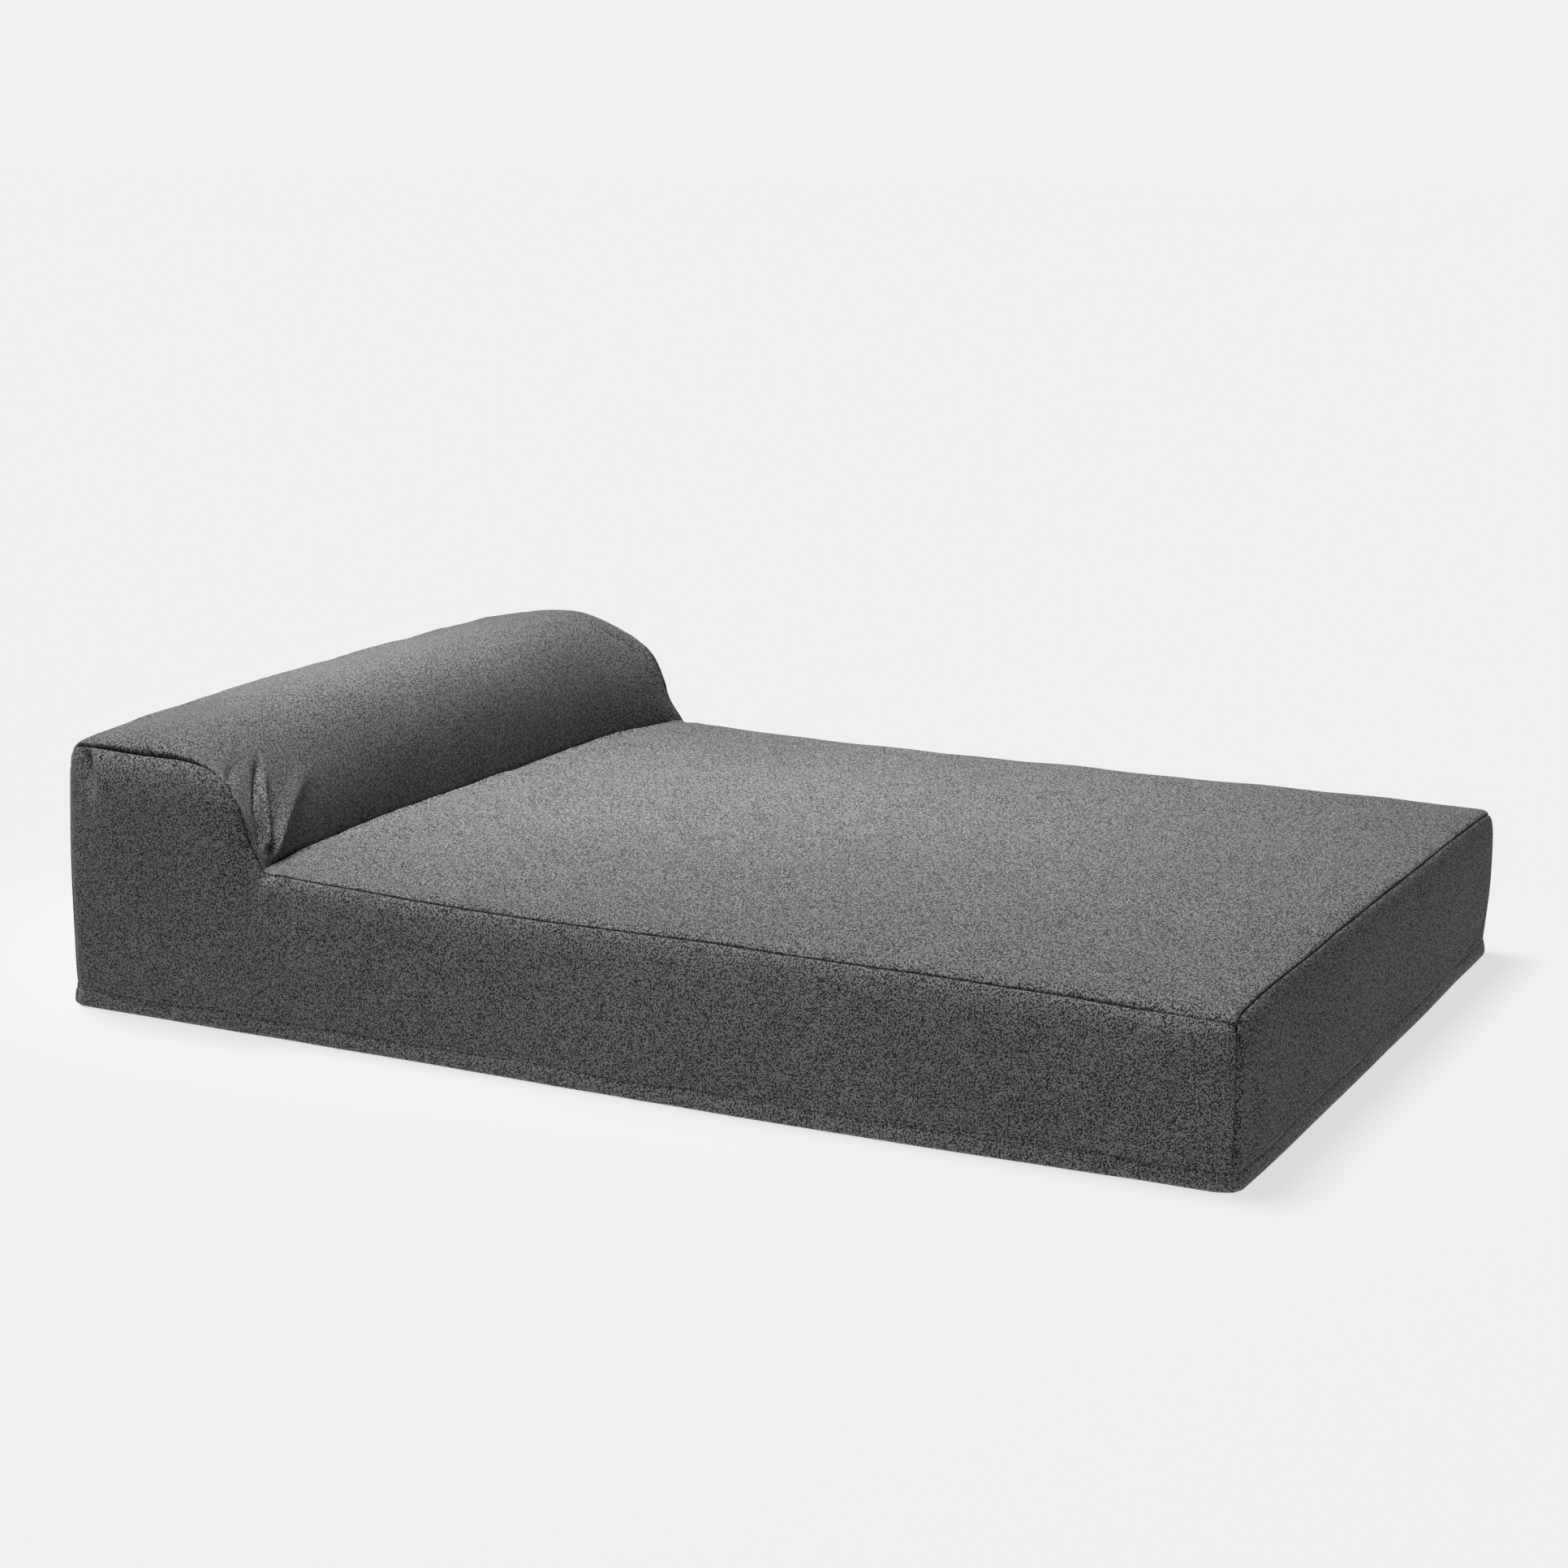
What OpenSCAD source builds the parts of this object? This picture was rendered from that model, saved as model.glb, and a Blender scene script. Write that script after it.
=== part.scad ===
// Futon sofa bed: a foam mattress with a foam head bolster, under one fitted, zipped cover.
// +X points from the head end to the foot end, +Z is up, and the origin is on the floor
// under the middle of the bed.

/* [Bed] */
// Length of the bed, head end to foot end
body_l = 2000; // [1800:10:2200]
// Width of the bed
body_w = 1400; // [900:10:1800]
// Height of the sleeping surface
seat_h = 262; // [240:1:300]
// Height of the bolster at the middle of the bed
bolster_h = 480; // [440:1:540]
// Height of the bolster's end seams
bolster_end_h = 437; // [410:1:438]
// Depth of the bolster at its foot, from the head end to the crease
bolster_d = 355; // [320:1:420]
// Lean of the bolster's front face from upright, in degrees
bolster_lean = 17; // [8:1:22]
// Radius of the bolster's front shoulder
shoulder_r = 92; // [70:1:100]
// Radius of the bolster's rear top edge
rear_r = 60; // [40:1:70]

/* [Cover] */
// Thickness of the cover cloth
cover_t = 1.6; // [1.2:0.1:2]
// Radius of the upright corners
corner_r = 35; // [30:1:45]
// Radius of the sleeping surface's edges
edge_r = 25; // [20:1:30]
// How far the edge seam lies below the sleeping surface
seam_drop = 12; // [8:1:16]
// How far the bolster's end seam lies inside its outline
seam_inset = 8; // [6:1:12]
// Height of the seam between the top panel and the head panel
head_seam_h = 425; // [400:1:430]
// Height of the hem
hem_h = 35; // [30:1:45]
// Thickness of the hem, which is a casing for the elastic
hem_t = 5; // [4.6:0.1:6]

/* [Filling] */
// Top of the firm base layer of foam
support_top = 180; // [150:5:200]
// Thickness of the cotton batting over the sleeping surface
batting_t = 10; // [8:1:16]
// Thickness of the cotton batting round the bolster
wrap_t = 7; // [5:1:9]
// Depth of the strips that hold the crease, under the bolster
strip_d = 75; // [50:5:100]
// Length of the strips that hold the crease
strip_l = 1240; // [800:10:1240]

/* [Zip] */
// Length of the opening in the head panel
zip_l = 1280; // [800:10:1280]
// Height of the zip's centre line
zip_z = 67; // [64:1:90]
// Height of the opening in the head panel
zip_gap = 14; // [12:1:18]
// How far the zip's tape lies behind the face of the head panel
zip_depth = 7.1; // [6.8:0.1:8]

/* [Hidden] */
$fn = 48;

hl = body_l / 2;
hw = body_w / 2;
far_out = 5;             // reach of the cutting shapes past the bed
wedge_in = 60;           // reach of the cutting shapes into the bed
gap = 0.3;               // clearance between layers
arc_steps = 8;           // straight steps in a quarter turn of an outline
seam_z = seat_h - seam_drop;

// The filling's layers, as insets from the cover's face and heights
lining = cover_t + gap;
foam_inset = hem_t + gap;
batting_low = seat_h - lining - batting_t;
comfort_top = batting_low - gap;
bolster_low = comfort_top + gap;
strip_t = 1.5;
crease_x = -hl + bolster_d;
shoulder_z = bolster_h - shoulder_r;
shoulder_x = crease_x - (shoulder_z + shoulder_r * sin(bolster_lean) - seat_h) * tan(bolster_lean)
    - shoulder_r * cos(bolster_lean);

// The elastic and the casing round it, as insets and heights
elastic_out = 1.9;
elastic_in = 3.1;
elastic_low = 8.2;
elastic_high = 25.8;
casing_gap = 0.1;

// The zip: tape, coil, slider and pull, with x measured outwards from the tape's back face
tape_t = 0.8;
tape_w = 16.4;
tape_half_gap = 0.6;
tape_x = -hl + zip_depth;
coil_w = 2.6;
coil_t = 2.2;
facing_w = 10;
slider_w = 13;
slider_l = 18;
slider_plate = 1.2;
slider_clear = 0.2;
slider_y = -zip_l / 2 + 42;
pin_r = 0.8;
pin_bore = 0.86;
barrel_r = 1.25;
barrel_l = 5;
lug_t = 1.4;
pin_x = tape_x - coil_t - slider_clear - slider_plate - barrel_r - slider_clear;
pull_l = 26;
pull_w = 8;
pull_t = 1.2;

function arc(cx, cy, r, from, to) =
    [for (i = [0 : arc_steps]) let (a = from + (to - from) * i / arc_steps)
        [cx + r * cos(a), cy + r * sin(a)]];

// Outline of the mattress from the side, d inside the cover's face
function seat_side(d) = concat(
    [[-hl + d, 0], [hl - d, 0]],
    arc(hl - edge_r, seat_h - edge_r, edge_r - d, 0, 90),
    [[-hl + d, seat_h - d]]
);

// Outline of the mattress from the foot end
function seat_end(d) = concat(
    [[-hw + d, 0], [hw - d, 0]],
    arc(hw - edge_r, seat_h - edge_r, edge_r - d, 0, 90),
    arc(-hw + edge_r, seat_h - edge_r, edge_r - d, 90, 180)
);

// Outline of the bolster from the side: upright back, rolled rear edge, shoulder, leaning front
function bolster_side(d) = concat(
    [[-hl + d, 0]],
    [[shoulder_x + (shoulder_r - d) * cos(bolster_lean)
        + (shoulder_z + (shoulder_r - d) * sin(bolster_lean)) * tan(bolster_lean), 0]],
    arc(shoulder_x, shoulder_z, shoulder_r - d, bolster_lean, 90),
    arc(-hl + rear_r, bolster_h - rear_r, rear_r - d, 90, 180)
);

// Outline of the bolster from the foot end, a little crowned at the middle
function bolster_end(d) = concat(
    [[-hw + d, 0], [hw - d, 0]],
    arc(hw - rear_r, bolster_h - rear_r - 10, rear_r - d, 0, 85),
    [[hw / 2, bolster_h - d], [-hw / 2, bolster_h - d]],
    arc(-hw + rear_r, bolster_h - rear_r - 10, rear_r - d, 95, 180)
);

module across(points) {
    rotate([90, 0, 0]) linear_extrude(body_w + 2 * far_out, center = true) polygon(points);
}

module along(points) {
    rotate([90, 0, 90]) linear_extrude(body_l + 2 * far_out, center = true) polygon(points);
}

// A flat slab with the bed's rounded plan, d inside the cover's face
module plan(d, low, high) {
    r = corner_r - d;
    outline = concat(
        arc(hl - corner_r, hw - corner_r, r, 0, 90), arc(-hl + corner_r, hw - corner_r, r, 90, 180),
        arc(-hl + corner_r, -hw + corner_r, r, 180, 270), arc(hl - corner_r, -hw + corner_r, r, 270, 360)
    );
    translate([0, 0, low]) linear_extrude(high - low) polygon(outline);
}

module seat_body(d) {
    intersection() {
        across(seat_side(d));
        along(seat_end(d));
        plan(d, 0, seat_h);
    }
}

module bolster_body(d) {
    intersection() {
        across(bolster_side(d));
        along(bolster_end(d));
        plan(d, 0, bolster_h);
    }
}

module body_above(d, low) {
    intersection() {
        union() {
            seat_body(d);
            bolster_body(d);
        }
        layer(low, bolster_h + far_out);
    }
}

// Everything between two heights
module layer(low, high) {
    translate([-hl - far_out, -hw - far_out, low])
        cube([body_l + 2 * far_out, body_w + 2 * far_out, high - low]);
}

// Upright wedges that part the four sides at the corners
module side_wedge(low, high) {
    translate([0, 0, low]) linear_extrude(high - low) polygon([
        [-hl - far_out, -hw - far_out], [hl + far_out, -hw - far_out],
        [hl - wedge_in, -hw + wedge_in], [-hl + wedge_in, -hw + wedge_in]
    ]);
}

module foot_wedge(low, high) {
    translate([0, 0, low]) linear_extrude(high - low) polygon([
        [hl + far_out, -hw - far_out], [hl + far_out, hw + far_out],
        [hl - wedge_in, hw - wedge_in], [hl - wedge_in, -hw + wedge_in]
    ]);
}

// The near side panel's own region: under the edge seam and inside the bolster's end seam
module near_region() {
    intersection() {
        side_wedge(hem_h, bolster_h);
        rotate([90, 0, 0]) translate([0, 0, hw - wedge_in]) linear_extrude(wedge_in + far_out)
            union() {
                translate([-hl - far_out, hem_h]) square([body_l + 2 * far_out, seam_z - hem_h]);
                translate([-hl - far_out, hem_h]) square([wedge_in, head_seam_h - hem_h]);
                intersection() {
                    polygon(bolster_side(seam_inset));
                    translate([-hl, hem_h]) square([bolster_d + wedge_in, bolster_end_h - hem_h]);
                }
            }
    }
}

module foot_region() foot_wedge(hem_h, seam_z);

module head_region() mirror([1, 0, 0]) foot_wedge(hem_h, head_seam_h);

module cover_shell() {
    difference() {
        body_above(0, hem_h);
        body_above(cover_t, 0);
    }
}

// A bar along the zip, from x0 to x1 behind the head panel's face and between two heights
module zip_bar(x0, x1, z0, z1, length = zip_l) {
    translate([x0, -length / 2, z0]) cube([x1 - x0, length, z1 - z0]);
}

module tuck_slot() {
    translate([crease_x - 4, -strip_l / 2 - gap, comfort_top])
        cube([3.4, strip_l + 2 * gap, seat_h - cover_t - comfort_top]);
}

module strip_recess() {
    translate([crease_x - strip_d - 5, -strip_l / 2 - gap, comfort_top])
        cube([strip_d + 5, strip_l + 2 * gap, 2 * strip_t + 3 * gap]);
}

module support_foam() color("khaki") difference() {
    intersection() {
        seat_body(foam_inset);
        layer(lining, support_top);
    }
    // channel that clears the zip and its slider
    translate([-hl, -zip_l / 2 - 25, zip_z - 20]) cube([zip_depth + 5, zip_l + 50, 40]);
}

module comfort_foam() color("lightyellow") intersection() {
    seat_body(foam_inset);
    layer(support_top + gap, comfort_top);
}

module seat_batting() color("ivory") difference() {
    intersection() {
        seat_body(lining);
        layer(batting_low, seat_h);
    }
    bolster_body(cover_t);
    tuck_slot();
}

module bolster_foam() color("khaki") difference() {
    intersection() {
        bolster_body(lining + wrap_t + gap);
        layer(bolster_low, bolster_h);
    }
    strip_recess();
}

module bolster_batting() color("ivory") difference() {
    intersection() {
        bolster_body(lining);
        layer(bolster_low, bolster_h);
    }
    bolster_body(lining + wrap_t);
    strip_recess();
    tuck_slot();
}

// Loop strip glued to the foam, under the bolster
module crease_loop_strip() color("black")
    translate([crease_x - strip_d, -strip_l / 2, comfort_top + gap / 2])
        cube([strip_d - 8, strip_l, strip_t]);

// Strip sewn into the cover's crease: it runs down, then back under the bolster
module crease_tuck_strip() color("dimgray") union() {
    translate([crease_x - strip_d, -strip_l / 2, comfort_top + gap + strip_t])
        cube([strip_d - 2, strip_l, strip_t]);
    translate([crease_x - 3.5, -strip_l / 2, comfort_top + gap + strip_t])
        cube([strip_t, strip_l, seat_h - cover_t - gap - comfort_top - gap - strip_t]);
}

module cover_top_panel() color("dimgray") difference() {
    cover_shell();
    near_region();
    mirror([0, 1, 0]) near_region();
    foot_region();
    head_region();
}

module cover_near_side() color("dimgray") intersection() {
    cover_shell();
    near_region();
}

module cover_far_side() mirror([0, 1, 0]) cover_near_side();

module cover_foot_panel() color("dimgray") intersection() {
    cover_shell();
    foot_region();
}

module cover_head_panel() color("dimgray") difference() {
    intersection() {
        cover_shell();
        head_region();
    }
    zip_bar(-hl - far_out, -hl + far_out, zip_z - zip_gap / 2, zip_z + zip_gap / 2);
}

// The hem all round: a casing with room for the elastic
module hem_ring() {
    difference() {
        plan(0, 0, hem_h);
        plan(hem_t, -far_out, hem_h + far_out);
        difference() {
            plan(elastic_out - casing_gap, elastic_low - casing_gap, elastic_high + casing_gap);
            plan(elastic_in + casing_gap, 0, hem_h);
        }
    }
}

module hem_band_near() color("dimgray") intersection() {
    hem_ring();
    side_wedge(0, hem_h);
}

module hem_band_far() mirror([0, 1, 0]) hem_band_near();

module hem_band_foot() color("dimgray") intersection() {
    hem_ring();
    foot_wedge(0, hem_h);
}

module hem_band_head() mirror([1, 0, 0]) hem_band_foot();

module hem_elastic() color("white") difference() {
    plan(elastic_out, elastic_low, elastic_high);
    plan(elastic_in, 0, hem_h);
}

module base_cloth() color("black") plan(hem_t, 0, cover_t);

// Bound edges between the head panel and the zip's tape
module zip_facing_upper() color("dimgray")
    zip_bar(-hl + cover_t, tape_x, zip_z + zip_gap / 2, zip_z + zip_gap / 2 + facing_w);

module zip_facing_lower() color("dimgray")
    zip_bar(-hl + cover_t, tape_x, zip_z - zip_gap / 2 - facing_w, zip_z - zip_gap / 2);

module zip_tape_upper() color("black")
    zip_bar(tape_x, tape_x + tape_t, zip_z + tape_half_gap, zip_z + tape_half_gap + tape_w);

module zip_tape_lower() color("black")
    zip_bar(tape_x, tape_x + tape_t, zip_z - tape_half_gap - tape_w, zip_z - tape_half_gap);

module zip_coil_upper() color("dimgray")
    zip_bar(tape_x - coil_t, tape_x, zip_z + tape_half_gap, zip_z + tape_half_gap + coil_w,
        zip_l - 60);

module zip_coil_lower() color("dimgray")
    zip_bar(tape_x - coil_t, tape_x, zip_z - tape_half_gap - coil_w, zip_z - tape_half_gap,
        zip_l - 60);

// One clip on each tape, past the end of the coil where the slider parks
module zip_top_stops() color("silver") {
    for (side = [-1, 1])
        translate([tape_x - coil_t, -zip_l / 2 + 24, zip_z + side * (tape_half_gap + 1.6) - 1.3])
            cube([coil_t, 5, 2.6]);
}

// One clip that bridges both tapes, where the open slider comes to rest
module zip_bottom_stop() color("silver")
    translate([tape_x - coil_t, zip_l / 2 - 29, zip_z - 4]) cube([coil_t, 6, 8]);

// Cloth tabs over the ends of the tape
module zip_end_tabs() color("black") {
    for (side = [-1, 1])
        translate([tape_x - 1, side * (zip_l / 2 - 9) - 9, zip_z - zip_gap / 2 + 0.2])
            cube([1, 18, zip_gap - 0.4]);
}

// Slider: outer and inner plates, the web between them, side flanges, and lugs for the pull
module zip_slider() color("silver") {
    outer = tape_x - coil_t - slider_clear;
    inner = tape_x + tape_t + slider_clear;
    flange_z = tape_half_gap + coil_w + slider_clear;
    translate([0, slider_y, zip_z]) difference() {
        union() {
            slider_plate_shape(outer - slider_plate, outer);
            slider_plate_shape(inner, inner + slider_plate);
            translate([outer - 0.1, -slider_l / 2 + 2, -0.4])
                cube([inner - outer + 0.2, 5, 0.8]);
            for (side = [-1, 1]) {
                translate([outer - 0.1, -slider_l / 2 + 3, side * (flange_z + 0.7) - 0.7])
                    cube([coil_t - 0.4, slider_l - 7, 1.4]);
                translate([pin_x - barrel_r, -2, side * (barrel_l / 2 + 0.2 + lug_t / 2) - lug_t / 2])
                    cube([outer - slider_plate - pin_x + barrel_r + 0.1, 4, lug_t]);
            }
        }
        translate([pin_x, 0, 0]) cylinder(h = slider_w, r = pin_r, center = true);
    }
}

// A slider plate: a rounded nose at the closed end, tapering to the chain
module slider_plate_shape(x0, x1) {
    translate([x1, 0, 0]) rotate([0, -90, 0]) linear_extrude(x1 - x0) union() {
        translate([-slider_w / 2 + 0.8, -slider_l / 2 + 5]) square([slider_w - 1.6, slider_l - 6]);
        translate([0, -slider_l / 2 + slider_w / 2]) circle(r = slider_w / 2);
    }
}

module zip_slider_pin() color("silver")
    translate([pin_x, slider_y, zip_z])
        cylinder(h = barrel_l + 0.4 + 2 * lug_t, r = pin_r, center = true);

// Pull: a bored barrel on the slider's pin, and a flat tab with a finger hole
module zip_pull_tab() color("silver") {
    tab_start = 3.4;
    translate([pin_x, slider_y, zip_z]) difference() {
        union() {
            cylinder(h = barrel_l, r = barrel_r, center = true);
            translate([-pull_t / 2, 0, -barrel_l / 2]) cube([pull_t, tab_start + 1, barrel_l]);
            translate([pull_t / 2, 0, 0]) rotate([0, -90, 0]) linear_extrude(pull_t) union() {
                translate([-pull_w / 2, tab_start]) square([pull_w, pull_l - tab_start - pull_w / 2]);
                translate([0, pull_l - pull_w / 2]) circle(r = pull_w / 2);
            }
        }
        cylinder(h = slider_w, r = pin_bore, center = true);
        translate([0, pull_l - pull_w / 2, 0]) rotate([0, 90, 0])
            cylinder(h = slider_w, r = 2, center = true);
    }
}

support_foam();
comfort_foam();
seat_batting();
bolster_foam();
bolster_batting();
crease_loop_strip();
crease_tuck_strip();
cover_top_panel();
cover_near_side();
cover_far_side();
cover_foot_panel();
cover_head_panel();
hem_band_near();
hem_band_far();
hem_band_foot();
hem_band_head();
hem_elastic();
base_cloth();
zip_facing_upper();
zip_facing_lower();
zip_tape_upper();
zip_tape_lower();
zip_coil_upper();
zip_coil_lower();
zip_top_stops();
zip_bottom_stop();
zip_end_tabs();
zip_slider();
zip_slider_pin();
zip_pull_tab();
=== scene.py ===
"""Futon sofa bed: a foam mattress with a foam head bolster, under one sewn and zipped cover.

The cover's panels are grids of points sewn edge to edge: neighbours share their border points, and
every later change to the cover is a function of place alone, so a seam never opens. Lengths are in
metres, x runs from the head to the foot, and the near long side faces -y.
"""
from math import cos, exp, log, pi, radians, sin, sqrt

import bmesh
import bpy
import numpy as np
from mathutils import Matrix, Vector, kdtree


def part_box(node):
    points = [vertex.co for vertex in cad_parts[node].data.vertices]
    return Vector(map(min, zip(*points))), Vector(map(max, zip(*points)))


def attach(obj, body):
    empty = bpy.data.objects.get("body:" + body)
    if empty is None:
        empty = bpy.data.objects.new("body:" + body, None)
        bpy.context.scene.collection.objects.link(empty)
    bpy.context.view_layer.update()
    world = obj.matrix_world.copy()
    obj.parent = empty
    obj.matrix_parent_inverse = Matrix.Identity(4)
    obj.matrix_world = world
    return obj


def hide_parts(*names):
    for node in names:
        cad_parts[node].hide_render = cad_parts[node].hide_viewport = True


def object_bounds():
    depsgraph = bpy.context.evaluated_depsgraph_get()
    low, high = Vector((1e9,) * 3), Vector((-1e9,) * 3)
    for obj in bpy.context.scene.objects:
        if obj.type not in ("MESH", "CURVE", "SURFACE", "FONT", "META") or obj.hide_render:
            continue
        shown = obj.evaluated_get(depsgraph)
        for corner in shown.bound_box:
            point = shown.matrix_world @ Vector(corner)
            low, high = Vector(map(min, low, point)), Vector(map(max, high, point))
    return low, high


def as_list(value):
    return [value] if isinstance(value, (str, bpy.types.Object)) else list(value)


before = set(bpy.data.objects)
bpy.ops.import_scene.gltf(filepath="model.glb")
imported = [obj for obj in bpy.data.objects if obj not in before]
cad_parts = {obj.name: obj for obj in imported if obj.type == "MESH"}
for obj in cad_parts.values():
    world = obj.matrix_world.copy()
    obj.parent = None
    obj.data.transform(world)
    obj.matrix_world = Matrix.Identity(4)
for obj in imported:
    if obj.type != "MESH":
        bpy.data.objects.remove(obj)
cad_low, cad_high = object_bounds()

# ---- sizes

HALF_L = cad_high.x
HALF_W = cad_high.y
SEAT_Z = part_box("seat_batting")[1].z + 0.01  # middle of the sleeping surface, crowned
HEM_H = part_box("hem_band_near")[1].z
HEAD_SEAM_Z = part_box("cover_head_panel")[1].z
CLOTH_T = 0.0016
SEAM_Y = HALF_W - 0.008  # the long sides' edge seam
SEAM_X = HALF_L - 0.005  # the foot's edge seam
HEAD_X = -HALF_L + 0.004  # the head seam
REAR_R = 0.036  # radius of the bolster's rear top edge
APEX_X = -HALF_L + 0.155  # highest line of the bolster
APEX_Z = 0.484  # and its height
CREASE_X = -0.681  # the crease at the middle of the bed
CREASE_FLARE = 0.062  # how far its ends come forward
CREASE_DEPTH = 0.02  # how far the cloth is tucked down into it
FRONT_LEAN = radians(13)  # of the bolster's front, at its foot
FAR_END_BACK = 0.01  # how much further back the bolster's far end stands
FAR_CORNER_UP = 0.011  # how much higher the far foot corner stands

# ---- helpers

def smooth(x):
    """0 below 0, 1 above 1, and an S-curve between."""
    x = np.clip(x, 0, 1)
    return x * x * (3 - 2 * x)


def stack(*parts):
    """Points from their coordinates."""
    return np.stack(np.broadcast_arrays(*parts), -1)


def waves(seed, count, shortest, longest, heading=0.0, spread=pi):
    """A smooth random height field of (u, v), about -1 to 1, made of plane waves."""
    rng = np.random.default_rng(seed)
    length = np.exp(rng.uniform(log(shortest), log(longest), count))
    angle = heading + rng.uniform(-1, 1, count) * spread
    phase = rng.uniform(0, 2 * pi, count)
    weight = (length / longest) ** 0.8
    weight /= np.sqrt((weight ** 2).sum() / 2)

    def height(u, v):
        total = np.zeros(np.broadcast(u, v).shape)
        for size, k, a, b in zip(weight, 2 * pi / length, angle, phase):
            total += size * np.sin(k * (u * cos(a) + v * sin(a)) + b)
        return total / 2

    return height


def bezier(p0, p1, p2, p3, t):
    """Points of a cubic curve; each p is an (x, z) pair that broadcasts with t."""
    a, b, c, d = (1 - t) ** 3, 3 * t * (1 - t) ** 2, 3 * t * t * (1 - t), t ** 3
    return tuple(a * p0[k] + b * p1[k] + c * p2[k] + d * p3[k] for k in (0, 1))


def spline(points, shares):
    """Points at these shares of the length of a smooth curve through the given points."""
    p = np.array(points, float)
    p = np.vstack([2 * p[0] - p[1], p, 2 * p[-1] - p[-2]])
    t = np.linspace(0, 1, 25)[:-1, None]
    parts = []
    for a, b, c, d in zip(p, p[1:], p[2:], p[3:]):
        parts.append(0.5 * (2 * b + (c - a) * t + (2 * a - 5 * b + 4 * c - d) * t ** 2
                            + (3 * b - a - 3 * c + d) * t ** 3))
    line = np.vstack(parts + [p[-2:-1]])
    arc = arc_down(line)
    return np.stack([np.interp(np.asarray(shares) * arc[-1], arc, line[:, k]) for k in range(p.shape[1])], -1)


def height_of(points, at, scale=1):
    """The second value of a smooth curve through the points where its first, scaled, is at."""
    line = spline(points, np.linspace(0, 1, 200))
    return np.interp(at, line[:, 0] * scale, line[:, 1])


def fold(u, v, path, height, width, round_=2, steep=1, start=0.05, end=0.6):
    """The height of one fold along a path in (u, v). Path, height and width are in millimetres.

    Width runs from its first value to its second; the left side of the path is steep times as wide;
    the fold rises over its first share, start, and dies away over its last, end.
    """
    line, width = spline(np.array(path) / 1000, np.linspace(0, 1, 48)), np.array(width) / 1000
    reach = 5 * max(width) * max(steep, 1)
    low, high = line.min(0) - reach, line.max(0) + reach
    u, v = np.broadcast_arrays(u, v)
    out = np.zeros(u.shape)
    near = (u > low[0]) & (u < high[0]) & (v > low[1]) & (v < high[1])
    du, dv = u[near][:, None] - line[:, 0], v[near][:, None] - line[:, 1]
    k = (du ** 2 + dv ** 2).argmin(1)
    rows = np.arange(len(k))
    du, dv = du[rows, k], dv[rows, k]
    share = k / (len(line) - 1)
    tangent = np.gradient(line, axis=0)[k]
    left = tangent[:, 0] * dv - tangent[:, 1] * du > 0
    wide = (width[0] + (width[1] - width[0]) * share) * np.where(left, steep, 1)
    profile = np.exp(-(np.hypot(du, dv) / wide) ** round_)
    taper = (smooth(share / start) if start else 1) * (smooth((1 - share) / end) if end else 1)
    out[near] = height / 1000 * profile * taper
    return out


def unit(vectors):
    return vectors / np.linalg.norm(vectors, axis=-1, keepdims=True)


def normals(p):
    """Unit normals of a grid of points, right-handed along rows then columns."""
    n = np.cross(np.gradient(p, axis=0), np.gradient(p, axis=1))
    return n / (np.linalg.norm(n, axis=2, keepdims=True) + 1e-12)


def arc_down(p):
    """Distance from the first row, along a line of points or each column of a grid."""
    steps = np.linalg.norm(np.diff(p, axis=0), axis=-1)
    return np.concatenate([0 * steps[:1], np.cumsum(steps, axis=0)])


# ---- the top panel

def rows(*parts):
    """Evenly spaced rows for each (first, last, number), without each part's own last one."""
    return np.concatenate([np.linspace(*part)[:-1] for part in parts])


# Each stretch of the length from head seam to foot seam, and where its rows lie in it, from 0 to 1
STRETCHES = {
    "rise": np.array([0, 0.06, 0.14, 0.26, 0.42, 0.6, 0.8]),
    "rear": rows((0, 1, 9)),
    "top": rows((0, 0.46, 15), (0.46, 1, 8)),
    "front": rows((0, 0.45, 18), (0.45, 1, 64)),
    "tuck": rows((0, 1, 6)),
    "lip": rows((0, 1, 7)),
    "seat": rows((0, 0.09, 22), (0.09, 0.96, 105), (0.96, 1, 9)),
    "foot": np.array([0, 0.3, 0.5, 0.66, 0.78, 0.88, 0.95, 1]),
}
STARTS = dict(zip(STRETCHES, np.cumsum([0] + [len(t) for t in STRETCHES.values()])))
N_LENGTH = sum(len(t) for t in STRETCHES.values())
FOOT_ROLL = 0.016  # over which the sleeping surface turns down to the foot seam
CREASE_ROW = STARTS["tuck"] + 3
SHOULDER_ROW = STARTS["top"] + 14  # where the bolster's back ends and its front begins

# The seam at the bolster's end, from the highest line down to the crease, and on along the seat
END_FRONT = [(APEX_X, 0.4375), (-0.79, 0.4368), (-0.753, 0.435), (-0.721, 0.43), (-0.693, 0.4175),
             (-0.675, 0.402), (-0.66, 0.381), (-0.648, 0.351), (-0.637, 0.312), (-0.613, 0.2685)]
END_SEAT = [(-0.6, 0.2655), (-0.53, 0.263), (-0.447, 0.2595), (-0.3, 0.2555), (-0.165, 0.253),
            (0.116, 0.254), (0.383, 0.252), (0.649, 0.251), (0.854, 0.247), (0.95, 0.245), (1, 0.244)]


def crease_x(y):
    """The crease comes forward towards its ends, more gently on the near side."""
    return CREASE_X + CREASE_FLARE * (np.abs(y) / HALF_W) ** np.where(y < 0, 3.4, 6)


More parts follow.
